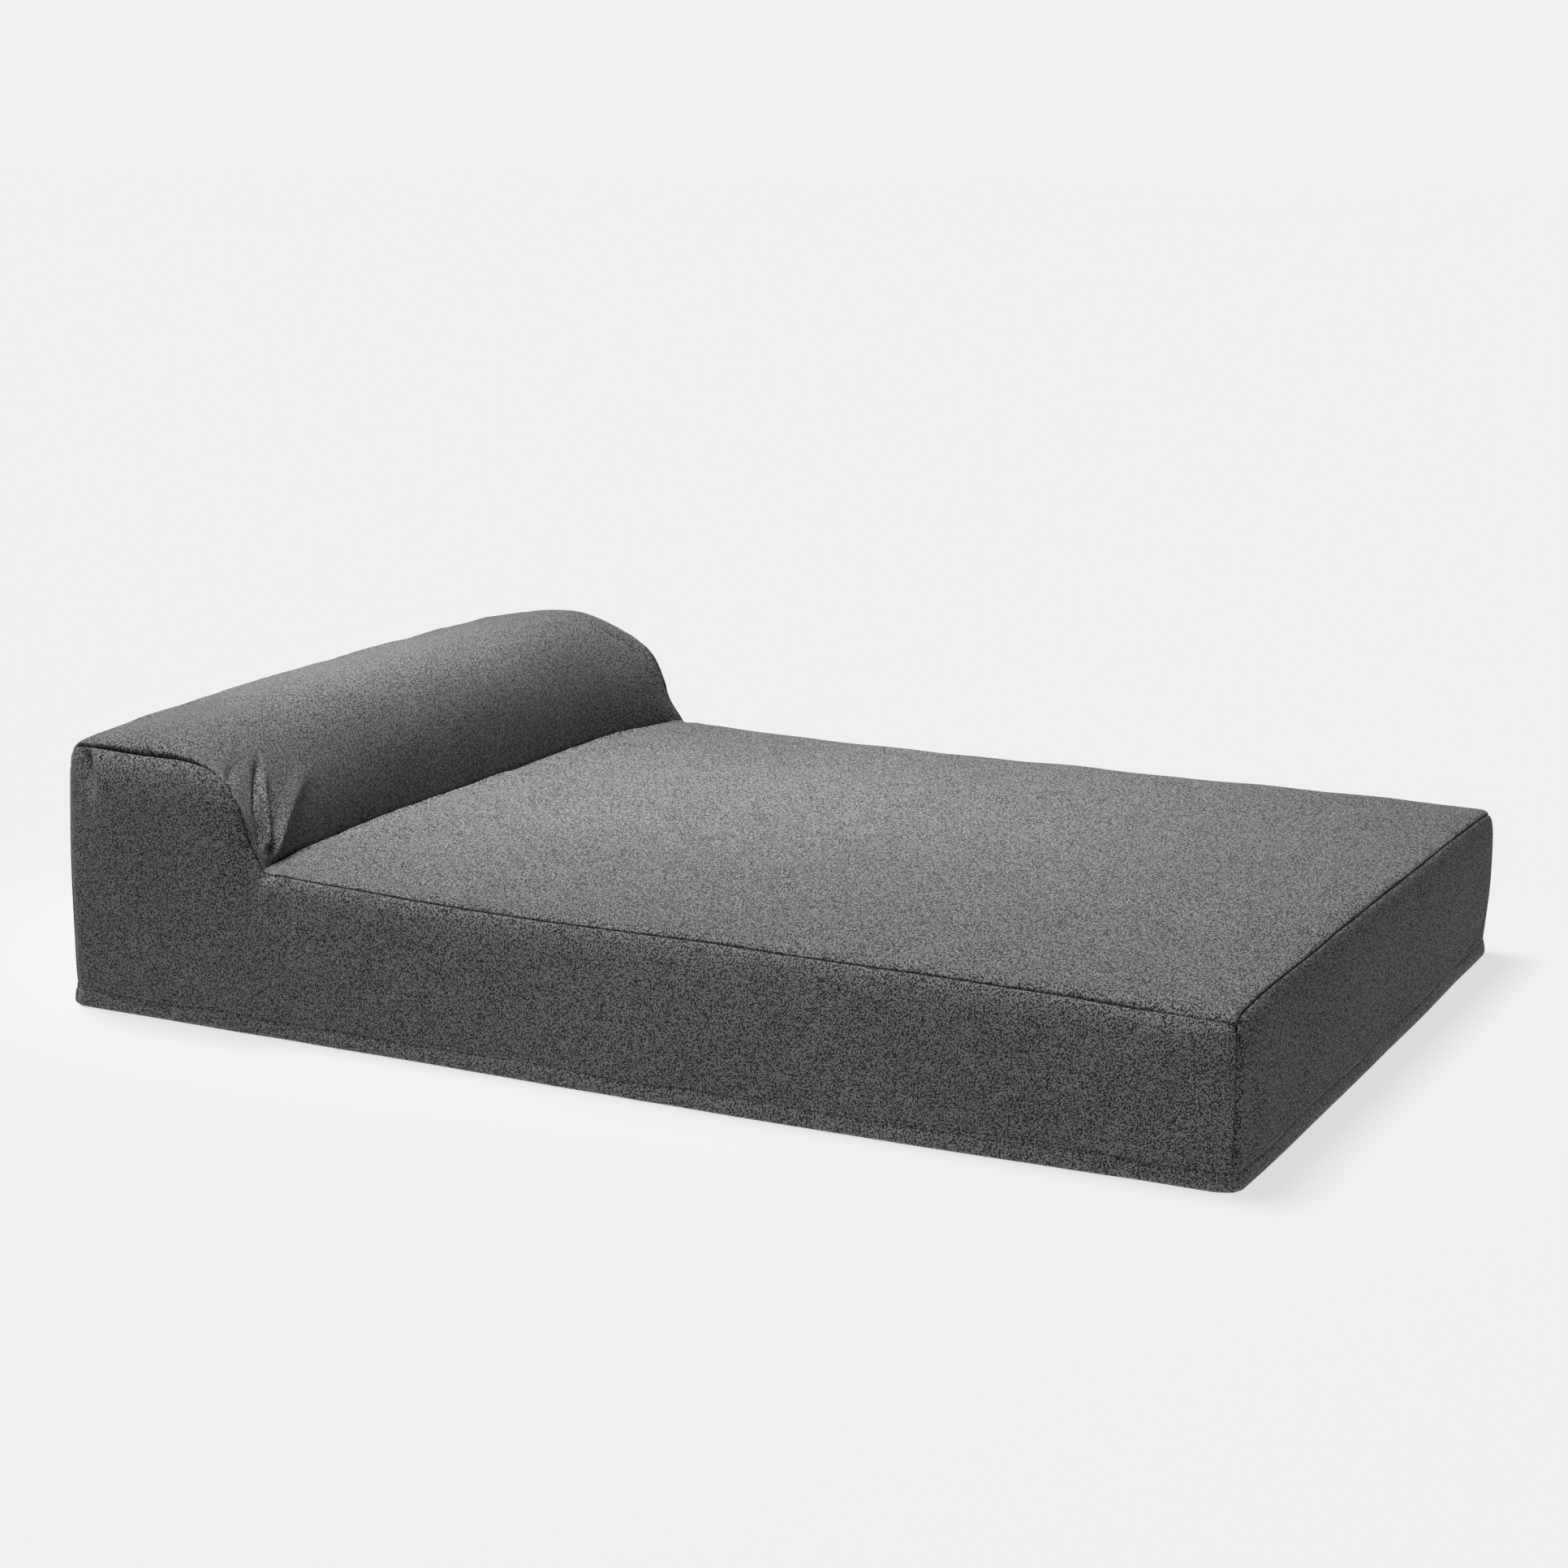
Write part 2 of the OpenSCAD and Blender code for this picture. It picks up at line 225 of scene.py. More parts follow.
def middle_line(name, t, y):
    """One stretch of the panel's line from head to foot, away from the end seams."""
    end = np.abs(y) / HALF_W
    apex_z = APEX_Z + 0.006 * y / HALF_W - np.where(y < 0, 0.017 * end ** 2.2, 0.013 * end ** 4)
    rear_x, rear_z = -HALF_L + REAR_R, apex_z - 0.013
    crease = crease_x(y)
    inside = 1 - smooth((np.abs(y) - 0.6) / 0.088)
    foot = (crease - 0.0015, SEAT_Z - 0.002 + 0 * y)
    depth = CREASE_DEPTH * inside + 0.001
    root = (crease - 0.001, SEAT_Z - depth)
    lip = (crease + 0.004 + 0.012 * inside, SEAT_Z + 0 * y)
    if name == "rise":
        return HEAD_X + (-HALF_L - HEAD_X) * (1 - (1 - t) ** 3), HEAD_SEAM_Z + t * (rear_z - REAR_R - HEAD_SEAM_Z)
    if name == "rear":
        k = 0.56 * REAR_R
        return bezier((-HALF_L, rear_z - REAR_R), (-HALF_L, rear_z - REAR_R + k),
                      (rear_x - k, rear_z - 0.12 * k), (rear_x, rear_z), t)
    if name == "top":
        span = APEX_X + HALF_L - REAR_R
        return bezier((rear_x, rear_z), (rear_x + 0.35 * span, rear_z + 0.0045), (APEX_X - 0.4 * span, apex_z),
                      (APEX_X, apex_z), t)
    if name == "front":
        up = 0.118  # how far the front keeps its lean
        return bezier((APEX_X, apex_z), (APEX_X + 0.088, apex_z + 0.001),
                      (foot[0] - up * sin(FRONT_LEAN) + 0.004, foot[1] + up * cos(FRONT_LEAN)), foot, t)
    if name == "tuck":
        return foot[0] + t * (root[0] - foot[0]), foot[1] + t * (root[1] - foot[1])
    if name == "lip":
        return bezier(root, (root[0] + 0.001, SEAT_Z - 0.35 * depth), (root[0] + 0.35 * (lip[0] - root[0]), lip[1]),
                      lip, t)
    start = SEAM_X - FOOT_ROLL
    if name == "seat":
        x = lip[0] + t * (start - lip[0])
    else:
        x = start + (SEAM_X - start) * t
    from_foot = SEAM_X - x
    from_crease = x - lip[0]
    z = SEAT_Z - 0.0065 * np.exp(-from_foot / 0.0055) - 0.0045 * np.exp(-from_foot / 0.06)
    return x, z - 0.003 * np.exp(-from_crease / 0.04)


def end_line(name, t, side):
    """The same stretch of a long side's seam, as x and z."""
    if name == "rise":
        return HEAD_X + 0 * t, 0.408 + 0.01 * t
    if name == "rear":
        return bezier((HEAD_X, 0.418), (HEAD_X + 0.001, 0.432), (-0.984, 0.4405), (-0.962, 0.441), t)
    if name == "top":
        return bezier((-0.962, 0.441), (-0.93, 0.4415), (-0.89, 0.4385), END_FRONT[0], t)
    if name == "front":
        p = spline(END_FRONT, t)
        back = FAR_END_BACK * np.sin(pi * np.clip(t, 0, 1)) if side > 0 else 0
        return p[:, 0] - back, p[:, 1]
    if name in ("tuck", "lip"):
        low, high = END_FRONT[-1], END_SEAT[0]
        t = t * 0.12 if name == "tuck" else 0.12 + 0.88 * t
        return low[0] + t * (high[0] - low[0]), low[1] + t * (high[1] - low[1])
    start = SEAM_X - FOOT_ROLL
    x = END_SEAT[0][0] + t * (start - END_SEAT[0][0]) if name == "seat" else start + FOOT_ROLL * t
    z = height_of(END_SEAT, x) - 0.003 * np.exp(-(SEAM_X - x) / 0.006)
    return x, z + (FAR_CORNER_UP * smooth((x - 0.3) / 0.7) if side > 0 else 0)


# Distances from the long edges' seams at which the panel's columns lie
BESIDE = np.array([0, 0.8, 1.8, 3.2, 5, 7.5, 10.5, 14, 18.5, 24, 30, 37, 45]) / 1000
PLEATED = 0.045 + np.cumsum([0.0031] * 28 + [0.0092] * 8)
WIDE = np.linspace(0, 1, 82)[1:-1]


def top_grid():
    half = np.r_[BESIDE, PLEATED]
    middle = half[-1] + (2 * SEAM_Y - 2 * half[-1]) * WIDE
    y = -SEAM_Y + np.r_[half, middle, 2 * SEAM_Y - half[::-1]]
    line = np.concatenate([stack(*middle_line(name, t[:, None], y)) for name, t in STRETCHES.items()])
    inset = SEAM_Y - np.abs(y)
    row = np.arange(N_LENGTH)
    # the end seams pull the line towards themselves: quickly beside them, slowly further in
    marks = [STARTS[n] for n in ("rise", "top", "front", "tuck", "seat")] + [STARTS["seat"] + 30, N_LENGTH]
    fast, slow, share = (np.interp(row, marks, values)[:, None] for values in (
        [0.006, 0.01, 0.012, 0.009, 0.009, 0.011, 0.011],
        [0.03, 0.035, 0.04, 0.045, 0.05, 0.055, 0.055],
        [0.2, 0.18, 0.25, 0.3, 0.4, 0.48, 0.48]))
    pull = (1 - share) * np.exp(-inset / fast) + share * np.exp(-inset / slow)
    pull = np.where(inset > 0.3, 0, pull * (1 - inset / 0.3))
    for column, side in ((0, -1), (-1, 1)):
        end = np.concatenate([stack(*end_line(name, t, side)) for name, t in STRETCHES.items()])
        half = pull * (np.sign(y) == side)
        line = line + (end - line[:, column])[:, None] * half[..., None]
    return stack(line[..., 0], y, line[..., 1])


top = top_grid()
ACROSS = top[0, :, 1]

# ---- the upright panels

TOP_ROWS = np.array([0, 0.8, 1.8, 3.2, 5, 7.5, 10.5, 14.5, 20, 27, 35]) / 1000
LOW_ROWS = np.array([0, 1, 2.2, 4, 7, 12]) / 1000
MIDDLE_ROWS = 24


def shares_down(height):
    """Where each column's rows lie, from its seam (0) to its hem (1): close beside both."""
    height = height[:, None]
    low = 1 - LOW_ROWS[::-1] / height
    high = TOP_ROWS / height
    middle = np.linspace(0, 1, MIDDLE_ROWS + 2)[1:-1]
    return np.concatenate([high, high[:, -1:] + (low[:, :1] - high[:, -1:]) * middle, low], 1)


def bulge(below, height, full, inward, over_edge):
    """How far a wall stands out from the line between its seam and its hem.

    inward is 0 at an upright corner and 1 away from it; over_edge is its swelling below the seam.
    """
    share = below / height
    return (full * (1 - np.exp(-below / 0.012)) * (1 - share) ** 0.35 + 0.0035 * np.sin(pi * share ** 0.8)
            + over_edge * (1 - np.exp(-below / 0.035)) * (1 - share) * inward)


CORNER = 0.07  # the walls bulge less within this distance of an upright corner


def wall(edge, hem):
    """A panel hung from its seam, edge, to its hem: rows follow the seam, columns go down."""
    share = shares_down(edge[:, 2] - hem[:, 2])
    p = edge[:, None, :] * (1 - share[..., None]) + hem[:, None, :] * share[..., None]
    below = edge[:, 2:3] - p[..., 2]
    height = (edge[:, 2] - hem[:, 2])[:, None]
    over_edge = 0.005 + np.where(edge[:, 1:2] < 0.012 - HALF_W, 0.021, 0.001) * smooth((height - 0.26) / 0.12)
    out = p.copy()
    for k, half, seam_at, other in ((0, HALF_L, SEAM_X, HALF_W), (1, HALF_W, SEAM_Y, HALF_L)):
        here, across = np.abs(p[..., k]), np.abs(p[..., 1 - k])
        swell = bulge(below, height, half - seam_at, smooth((other - across) / 0.1), over_edge)
        out[..., k] += np.sign(p[..., k]) * smooth((here - (half - CORNER)) / 0.06) * swell
    return out


# The opening for the zip, and the flat cloth round it
ZIP_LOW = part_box("zip_facing_lower")[1].z
ZIP_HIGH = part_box("zip_facing_upper")[0].z
ZIP_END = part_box("zip_tape_upper")[1].y
ZIP_FACE = -HALF_L + 0.0008

HEM_IN = 0.004  # the hem's line inside the bed's greatest outline
# How far the hem of a long side stands out of a straight line, along x
HEM_BOW = [(-1, 0.011), (-0.75, 0.012), (-0.4, 0.011), (0, 0.016), (0.35, 0.017), (0.65, 0.01), (0.85, 0.002),
           (1, -0.002)]
FOOT_BOW = [(-0.7, 0.006), (-0.5, 0.01), (0, 0.007), (0.35, 0.005), (0.7, 0.001)]

HEAD_CORNER_OUT = 0.01  # how far the hem stands out further at the head's corners


def long_side(edge, side):
    """The hem of a long side starts under the seam's own points and keeps its corners."""
    arc = arc_down(edge)
    crease = edge[CREASE_ROW, 0] - 0.012
    head_x = -HALF_L + HEM_IN - HEAD_CORNER_OUT
    x = np.where(arc < arc[CREASE_ROW], head_x + (crease - head_x) * arc / arc[CREASE_ROW],
                 edge[:, 0] + (crease - edge[CREASE_ROW, 0]) * np.clip(1 - (arc - arc[CREASE_ROW]) / 0.25, 0, 1) ** 2)
    x += (HALF_L - HEM_IN + FOOT_BOW[-1 if side > 0 else 0][1] - x[-1]) * smooth((x - 0.9) / (x[-1] - 0.9))
    return wall(edge, stack(x, side * (HALF_W - HEM_IN + height_of(HEM_BOW, x)), HEM_H))


def end_side(edge, side):
    """The foot or head panel, between the corners of the long sides' hems."""
    corner = HALF_W - HEM_IN + HEM_BOW[-1 if side > 0 else 0][1]
    y = edge[:, 1] * corner / SEAM_Y
    out = (height_of(FOOT_BOW, y, corner / 0.7) if side > 0
           else HEAD_CORNER_OUT * smooth((np.abs(y) - ZIP_END - 0.012) / 0.045))
    return wall(edge, stack(side * (HALF_L - HEM_IN + out), y, HEM_H))


def zip_lines(p):
    """Move the nearest grid lines of the head panel onto the edges of the zip's opening."""
    for z in (ZIP_LOW, ZIP_HIGH):
        column = np.abs(p[..., 2] - z).mean(0).argmin()
        p[:, column, 2] = z
    beside = np.abs(p[0, :, 2] - (ZIP_LOW + ZIP_HIGH) / 2) < 0.025
    for y in (-ZIP_END, ZIP_END):
        row = np.abs(p[:, -8, 1] - y).argmin()
        p[row, beside, 1] = y
    return p


def zip_zone(x, y, z):
    """1 round the zip and below it, 0 away from it."""
    return (smooth((-x - 0.9) / 0.05) * (1 - smooth((np.abs(y) - ZIP_END - 0.012) / 0.03))
            * (1 - smooth((z - ZIP_HIGH - 0.014) / 0.05)))


panels = {
    "top": top,
    "near": long_side(top[:, 0], -1),
    "far": long_side(top[:, -1], 1),
    "foot": end_side(top[-1], 1),
    "head": zip_lines(end_side(top[0], -1)),
}

# Which way each grid's right-handed normal points: 1 out of the bed, -1 into it
OUTWARD = {"top": 1, "near": -1, "far": 1, "foot": -1, "head": 1}
# The axis that runs along each panel
ALONG = {"top": 0, "near": 0, "far": 0, "foot": 1, "head": 1}


def outward(name):
    return OUTWARD[name] * normals(panels[name])


# ---- how the cloth lies

def from_border(name):
    """Distance of each point of a panel from its nearest seam, along the panel."""
    p = panels[name]
    down, across = arc_down(p), arc_down(p.transpose(1, 0, 2)).T
    sides = [across, down, down[-1:] - down]
    if name == "top":
        sides.append(across[:, -1:] - across)
    return np.minimum.reduce(sides)


# Each fold below is a path, a height, two widths, and where needed fold()'s other values.
# The pleats where the crease is pulled into the near end's seam, by y and z
PLEATS = [
    ([(-676, 268), (-644, 278), (-593, 305), (-542, 330), (-464, 366), (-390, 392)],
     15, (3.6, 18), 1.8, 1.3, 0.2, 0.75),
    ([(-672, 272), (-654, 290), (-632, 316), (-589, 365), (-536, 409), (-500, 432)],
     9.5, (3, 5), 1.7, 1.1, 0.18, 0.66),
    ([(-662, 284), (-638, 296), (-606, 322), (-566, 364), (-530, 392)],
     -7.5, (3, 7), 1.7, 1, 0.1, 0.6),
    ([(-676, 292), (-656, 326), (-636, 353), (-590, 386), (-546, 412), (-520, 430)],
     -10.5, (4, 5.5), 1.5, 1, 0.08, 0.3),
    ([(-690, 386), (-660, 400), (-628, 412), (-600, 420)], -7, (4, 7), 1.6, 1, 0, 0.6),
    ([(-690, 400), (-672, 410), (-650, 421)], 3.5, (4, 6), 1.8, 1, 0, 0.7),
]
# One slack line across the bolster's far end, by -y and z
FAR_SLACK = ([(-585, 478), (-618, 458), (-642, 428), (-655, 395)], -4.5, (4, 6), 1.6, 1, 0.3, 0.4)
# The small tuck over the rear near corner, by x and y
REAR_TUCK = ([(-953, -690), (-962, -660), (-972, -640)], -3, (3, 6), 1.6, 1, 0, 0.7)
# Drag lines on the seat, from the crease: where each starts and ends, and its height
DRAG_LINES = [
    (-655, 100, -460, 170, -1.6), (-668, 210, -440, 260, 1.7), (-670, 310, -500, 380, -1.8),
    (-660, 420, -470, 450, 1.5), (-640, 520, -500, 530, -1.4), (-585, -600, -450, -570, -1.8),
    (-600, -520, -500, -470, 1.4),
]
# The upright panels: their slow waves' height; seed, count, shortest and longest length; and their
# folds, along the panel and up it
WALL_RELIEF = {
    "near": (0.0014, (21, 10, 0.14, 0.7), [
        ([(-957, 440), (-946, 410), (-934, 380), (-924, 350)], -16, (9, 11.5), 1.5, 1, 0, 0.55),
        ([(-928, 434), (-918, 400), (-906, 365)], 4, (6, 10), 1.8, 1, 0.1),
        ([(-600, 262), (-612, 200), (-622, 120)], 3.5, (10, 26), 2, 1, 0.1),
        ([(-575, 262), (-570, 220), (-560, 170)], -2.5, (8, 18), 2, 1, 0.1),
        ([(-640, 320), (-660, 270), (-690, 200)], -2.2, (12, 30), 2, 1, 0.2),
        ([(-255, 250), (-262, 215), (-275, 170)], -2.2, (6, 20), 2, 1, 0.1),
        ([(862, 244), (852, 215), (846, 180)], -3.5, (7, 18), 2, 1, 0.1),
        ([(994, 224), (970, 220), (945, 214)], -2.6, (3.5, 6), 1.6, 1, 0),
        ([(994, 205), (972, 203), (952, 200)], 2.2, (4, 7), 2, 1, 0),
        ([(994, 190), (975, 186), (960, 181)], -1.8, (3, 6), 1.8, 1, 0)]),
    "far": (0.0016, (31, 10, 0.14, 0.7), [
        ([(-960, 436), (-948, 400), (-925, 350)], -5, (5, 14)),
        ([(-602, 262), (-610, 200), (-600, 130)], 3.4, (10, 24)),
        ([(-640, 330), (-665, 260), (-690, 190)], -2.4, (12, 28)),
        ([(300, 250), (290, 205), (310, 160)], -2.2, (6, 18)),
        ([(990, 222), (965, 216), (940, 214)], -2.6, (4, 7))]),
    "foot": (0.0015, (41, 9, 0.12, 0.6), [
        ([(-690, 232), (-660, 222), (-625, 205)], -3.4, (4, 10)),
        ([(-690, 205), (-668, 198), (-640, 188)], 2.6, (4, 8)),
        ([(-660, 170), (-648, 120), (-650, 70)], -2.6, (12, 20)),
        ([(690, 228), (660, 220), (630, 208)], -2.8, (4, 9)),
        ([(200, 250), (190, 215), (210, 175)], -1.8, (6, 16))]),
    "head": (0.002, (51, 10, 0.16, 0.8), [
        ([(-690, 405), (-655, 385), (-615, 350)], -4, (5, 14)),
        ([(690, 402), (660, 380), (625, 335)], -4.4, (5, 14)),
        ([(-645, 75), (-610, 110), (-560, 155)], 2.6, (6, 18)),
        ([(645, 75), (612, 112), (570, 150)], 2.8, (6, 18))]),
}


def top_relief():
    """Soft waves, the pleats, and the drag lines beside the crease."""
    x, y, z = np.moveaxis(top, 2, 0)
    row = np.arange(N_LENGTH)[:, None]
    on_back, on_seat = row < SHOULDER_ROW, row >= STARTS["seat"]
    on_front = ~on_back & (row < STARTS["tuck"])
    inset = SEAM_Y - np.abs(y)
    h = 0.0013 * waves(11, 10, 0.16, 0.7)(x, y) * on_seat * smooth((x - CREASE_X) / 0.12)
    h += 0.0015 * waves(12, 9, 0.12, 0.6, spread=0.6, heading=pi / 2)(x, y) * ~on_seat
    h += 0.0008 * waves(13, 14, 0.04, 0.13)(x, y) * smooth((inset - 0.01) / 0.05)
    for pleat in PLEATS:
        h += fold(y, z, *pleat) * on_front * (y < 0) * smooth((inset - 0.0005) / 0.006)
    h += fold(-y, z, *FAR_SLACK) * on_front * (y > 0)
    for x0, y0, x1, y1, height in DRAG_LINES:
        path = [(x0, y0), ((x0 + x1) / 2, (y0 + y1) / 2 + 12), (x1, y1)]
        h += fold(x, y, path, height, (10, 24), 2, 1, 0.15, 0.7) * on_seat
    return h + fold(x, y, *REAR_TUCK) * on_back


def wall_relief(name):
    """Slow waves and the folds of an upright panel."""
    wave_height, wave, folds = WALL_RELIEF[name]
    u, z = panels[name][..., ALONG[name]], panels[name][..., 2]
    return wave_height * waves(*wave)(u, z) + sum(fold(u, z, *each) for each in folds)


def gather(name, inset):
    """Fine puckers that the stitching draws into the cloth beside a seam."""
    u = panels[name][..., ALONG[name]]
    strength = 0.5 + 0.5 * np.sin(u * 17 + 3 * np.sin(u * 5.3))
    ripple = waves(61, 12, 0.014, 0.05)(u, 0)
    return 0.0011 * strength * ripple * np.exp(-inset / 0.016) * (1 - np.exp(-inset / 0.003))


STITCH_W = 0.0014  # half width of the line that a seam's stitching draws in, and of the shade painted along it


def seam(points, inward, depth, width=STITCH_W):
    """A stitched line: where it runs, which way the thread draws the cloth, how deep and how wide."""
    tree = kdtree.KDTree(len(points))
    for i, q in enumerate(points):
        tree.insert(q, i)
    tree.balance()
    return tree, unit(inward) * depth[:, None], np.broadcast_to(width, len(points))


def make_seams():
    n = {name: outward(name) for name in panels}
    row, x = np.arange(N_LENGTH), top[:, 0, 0]
    long_depth = 0.0028 * np.interp(
        row, [0, CREASE_ROW - 60, CREASE_ROW - 45, CREASE_ROW - 4, CREASE_ROW + 12, N_LENGTH],
        [2, 2, 2.5, 1.9, 0.9, 0.9])
    long_width = np.interp(row, [0, STARTS["top"], STARTS["front"] + 8, CREASE_ROW, CREASE_ROW + 5],
                           [0.003, 0.003, 0.0034, 0.0026, STITCH_W])
    near_depth = long_depth * (1 - 0.75 * smooth((x - 0.85) / 0.04) * (1 - smooth((x - 0.975) / 0.015)))
    across = np.full(top.shape[1], 0.0032)

    def over_edge(side, top_line, lean, depth, width=STITCH_W):
        return seam(panels[side][:, 0], -(top_line + lean * n[side][:, 2]), depth, width)

    def upright(side, end, side_row, end_row, extra, width=STITCH_W):
        """The seam of an upright corner, drawn in deeper at its top by extra."""
        line = panels[side][side_row]
        depth = 0.0026 + extra * np.exp(-(line[0, 2] - line[:, 2]) / 0.014)
        return seam(line, -(n[side][side_row] + n[end][end_row]), depth, width)

    return [
        over_edge("near", n["top"][:, 0], 1.2, near_depth, long_width),
        over_edge("far", n["top"][:, -1], 1.2, long_depth, long_width),
        over_edge("foot", n["top"][-1], 1, across),
        over_edge("head", n["top"][0], 1, across),
        upright("near", "foot", -1, 0, 0.006, 0.0019),
        upright("far", "foot", -1, -1, 0.0035),
        upright("near", "head", 0, 0, 0.003),
        upright("far", "head", 0, -1, 0.003),
    ]


SEAM_REACH = 0.03  # how far a seam's pull is felt
SEAM_BAND = 0.045  # all points so near a seam lie so near the bed's outline


def press(points, seams):
    """Draw points in beside the seams. Returns them, and how close each is to a seam, 0 to 1."""
    out = points.copy()
    closeness = np.zeros(len(points))
    outer = (np.abs(points[:, 1]) > HALF_W - SEAM_BAND) | (np.abs(points[:, 0]) > HALF_L - SEAM_BAND)
    for i in np.nonzero(outer)[0]:
        q = points[i]
        for tree, pull, width in seams:
            _, k, d = tree.find(q)
            if d < SEAM_REACH:
                line = exp(-(d / width[k]) ** 2)
                out[i] += pull[k] * (line + 0.35 * exp(-d / 0.007))
                closeness[i] = max(closeness[i], line)
    return out, closeness


# Slow and quick wanderings of the whole cover
drift = [waves(seed, 8, 0.2, 0.9) for seed in (71, 72, 73)]
flutter = [waves(seed, 8, 0.07, 0.2) for seed in (74, 75)]
FOOT_CORNER_R = 0.033  # radii of the upright corners: at the foot's hem,
FOOT_TIGHTER = 0.017  # how much less at the foot's top,
HEAD_CORNER_R = 0.026  # and at the head


def settle(p):
    """Give the whole cover small wanderings, and round its upright corners."""
    x, y, z = np.moveaxis(p, -1, 0)
    zone = zip_zone(x, y, z)
    loose = 1 - zone
    free = smooth(z / 0.1) * loose
    x = x + loose * 0.0012 * drift[0](y, z * 1.5)
    y = y + loose * (0.0013 * drift[1](x, z * 1.5) + 0.0004 * flutter[0](x, z))
    z = z + free * (0.0012 * drift[2](x, y) + 0.0005 * flutter[1](x, y))
    x = x + zone * smooth((z - HEM_H) / 0.01) * (x < -0.9) * (ZIP_FACE - x)
    r = np.where(x > 0, FOOT_CORNER_R - FOOT_TIGHTER * smooth((z - 0.04) / 0.1), HEAD_CORNER_R)
    xy, r, half = stack(x, y), r[..., None], np.array([HALF_L, HALF_W]) + 0.001
    a = 1 - (half - np.abs(xy)) / r
    rounded = np.sign(xy) * (half - r + r * a * np.sqrt(1 - np.minimum(a[..., ::-1], 1) ** 2 / 2))
    xy = np.where((a > 0).all(-1, keepdims=True), rounded, xy)
    return stack(xy[..., 0], xy[..., 1], z)


def lay_cloth():
    """Relief, seams and wanderings on every panel; returns each panel's closeness to a seam."""
    lifted, closeness = {}, {}
    for name, p in panels.items():
        inset = from_border(name)
        lift, level_for = (top_relief(), 0.0035) if name == "top" else (wall_relief(name), 0.011)
        lift = lift * (1 - np.exp(-(inset / level_for) ** 2)) + gather(name, inset)
        lifted[name] = p + outward(name) * lift[..., None]
    seams = make_seams()
    for name, p in lifted.items():
        pressed, close = press(p.reshape(-1, 3), seams)
        panels[name] = settle(pressed.reshape(p.shape))
        closeness[name] = close.reshape(p.shape[:2])
    return closeness


hem_lines = {name: p[:, -1].copy() for name, p in panels.items() if name != "top"}
# The cloth's own flat coordinates, in metres
flat = {name: stack(p[..., ALONG[name]], -p[..., 2]) for name, p in panels.items()}
flat["top"] = stack(arc_down(top)[:, len(ACROSS) // 2, None], top[..., 1])
# The flecks' own coordinates: they are longer across the bed on the foot panel and on the seat
SEAT_STRETCH = 2.2
FOOT_STRETCH = 2.0
inset = SEAM_Y - np.abs(ACROSS)
stretch = 1 + (SEAT_STRETCH - 1) * smooth((inset - 0.012) / 0.06)
squeezed = np.r_[0, np.cumsum(np.diff(ACROSS) * 2 / (stretch[1:] + stretch[:-1]))]
flecks = {name: p.copy() for name, p in flat.items()}
flecks["top"][CREASE_ROW:, :, 1] = squeezed
flecks["foot"][..., 0] /= FOOT_STRETCH
seam_closeness = lay_cloth()

# ---- meshes

def new_object(name, data):
    obj = bpy.data.objects.new(name, data)
    bpy.context.scene.collection.objects.link(obj)
    return obj


def new_mesh(name, points, faces):
    mesh = bpy.data.meshes.new(name)
    mesh.from_pydata(points.reshape(-1, 3).tolist(), [], faces)
    mesh.polygons.foreach_set("use_smooth", np.ones(len(faces), bool))
    return mesh


def grid_mesh(name, p, thickness, offset, flip=False, hole=None):
    """A sheet through a grid of points, thickened to both sides or to one."""
    index = np.arange(p[..., 0].size).reshape(p.shape[:2])
    quads = np.stack([index[:-1, :-1], index[1:, :-1], index[1:, 1:], index[:-1, 1:]], axis=2).reshape(-1, 4)
    if hole is not None:
        quads = quads[~hole.ravel()]
    if flip:
        quads = quads[:, ::-1]
    obj = new_object(name, new_mesh(name, p, quads.tolist()))
    shell = obj.modifiers.new("cloth thickness", "SOLIDIFY")
    shell.thickness = thickness
    shell.offset = offset
    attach(obj, "bed")
    return obj


def tube_mesh(name, loops):
    """A closed mesh through closed loops of points, shape (loops, points, 3), with flat ends."""
    index = np.arange(loops[..., 0].size).reshape(loops.shape[:2])
    ahead = np.roll(index, -1, axis=1)
    quads = np.stack([index[:-1], index[1:], ahead[1:], ahead[:-1]], axis=2).reshape(-1, 4)
    mesh = new_mesh(name, loops, quads.tolist() + [index[0].tolist(), index[-1, ::-1].tolist()])
    mesh.validate()
    obj = new_object(name, mesh)
    work = bmesh.new()
    work.from_mesh(mesh)
    bmesh.ops.recalc_face_normals(work, faces=work.faces)
    work.to_mesh(mesh)
    work.free()
    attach(obj, "bed")
    return obj


def give_cloth(piece, cloth, fleck):
    """Mark a piece as cover cloth. cloth holds flat coordinates and the closeness to a seam."""
    for name, values in (("cloth", cloth), ("fleck", fleck)):
        attribute = piece.data.attributes.new(name, "FLOAT_VECTOR", "POINT")
        attribute.data.foreach_set("vector", np.asarray(values, np.float32).ravel())


centre = (panels["head"][1:, 1:] + panels["head"][:-1, :-1]) / 2
opening = (centre[..., 2] > ZIP_LOW) & (centre[..., 2] < ZIP_HIGH) & (np.abs(centre[..., 1]) < ZIP_END)
cover = {}
for name, p in panels.items():
    cover[name] = grid_mesh("cover_" + name, p, CLOTH_T, -1, flip=OUTWARD[name] < 0,
                            hole=opening if name == "head" else None)
    close = seam_closeness[name]
    give_cloth(cover[name], np.dstack([flat[name], close]), np.dstack([flecks[name], 0 * close]))
    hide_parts("cover_" + name + ("_side" if name in ("near", "far") else "_panel"))
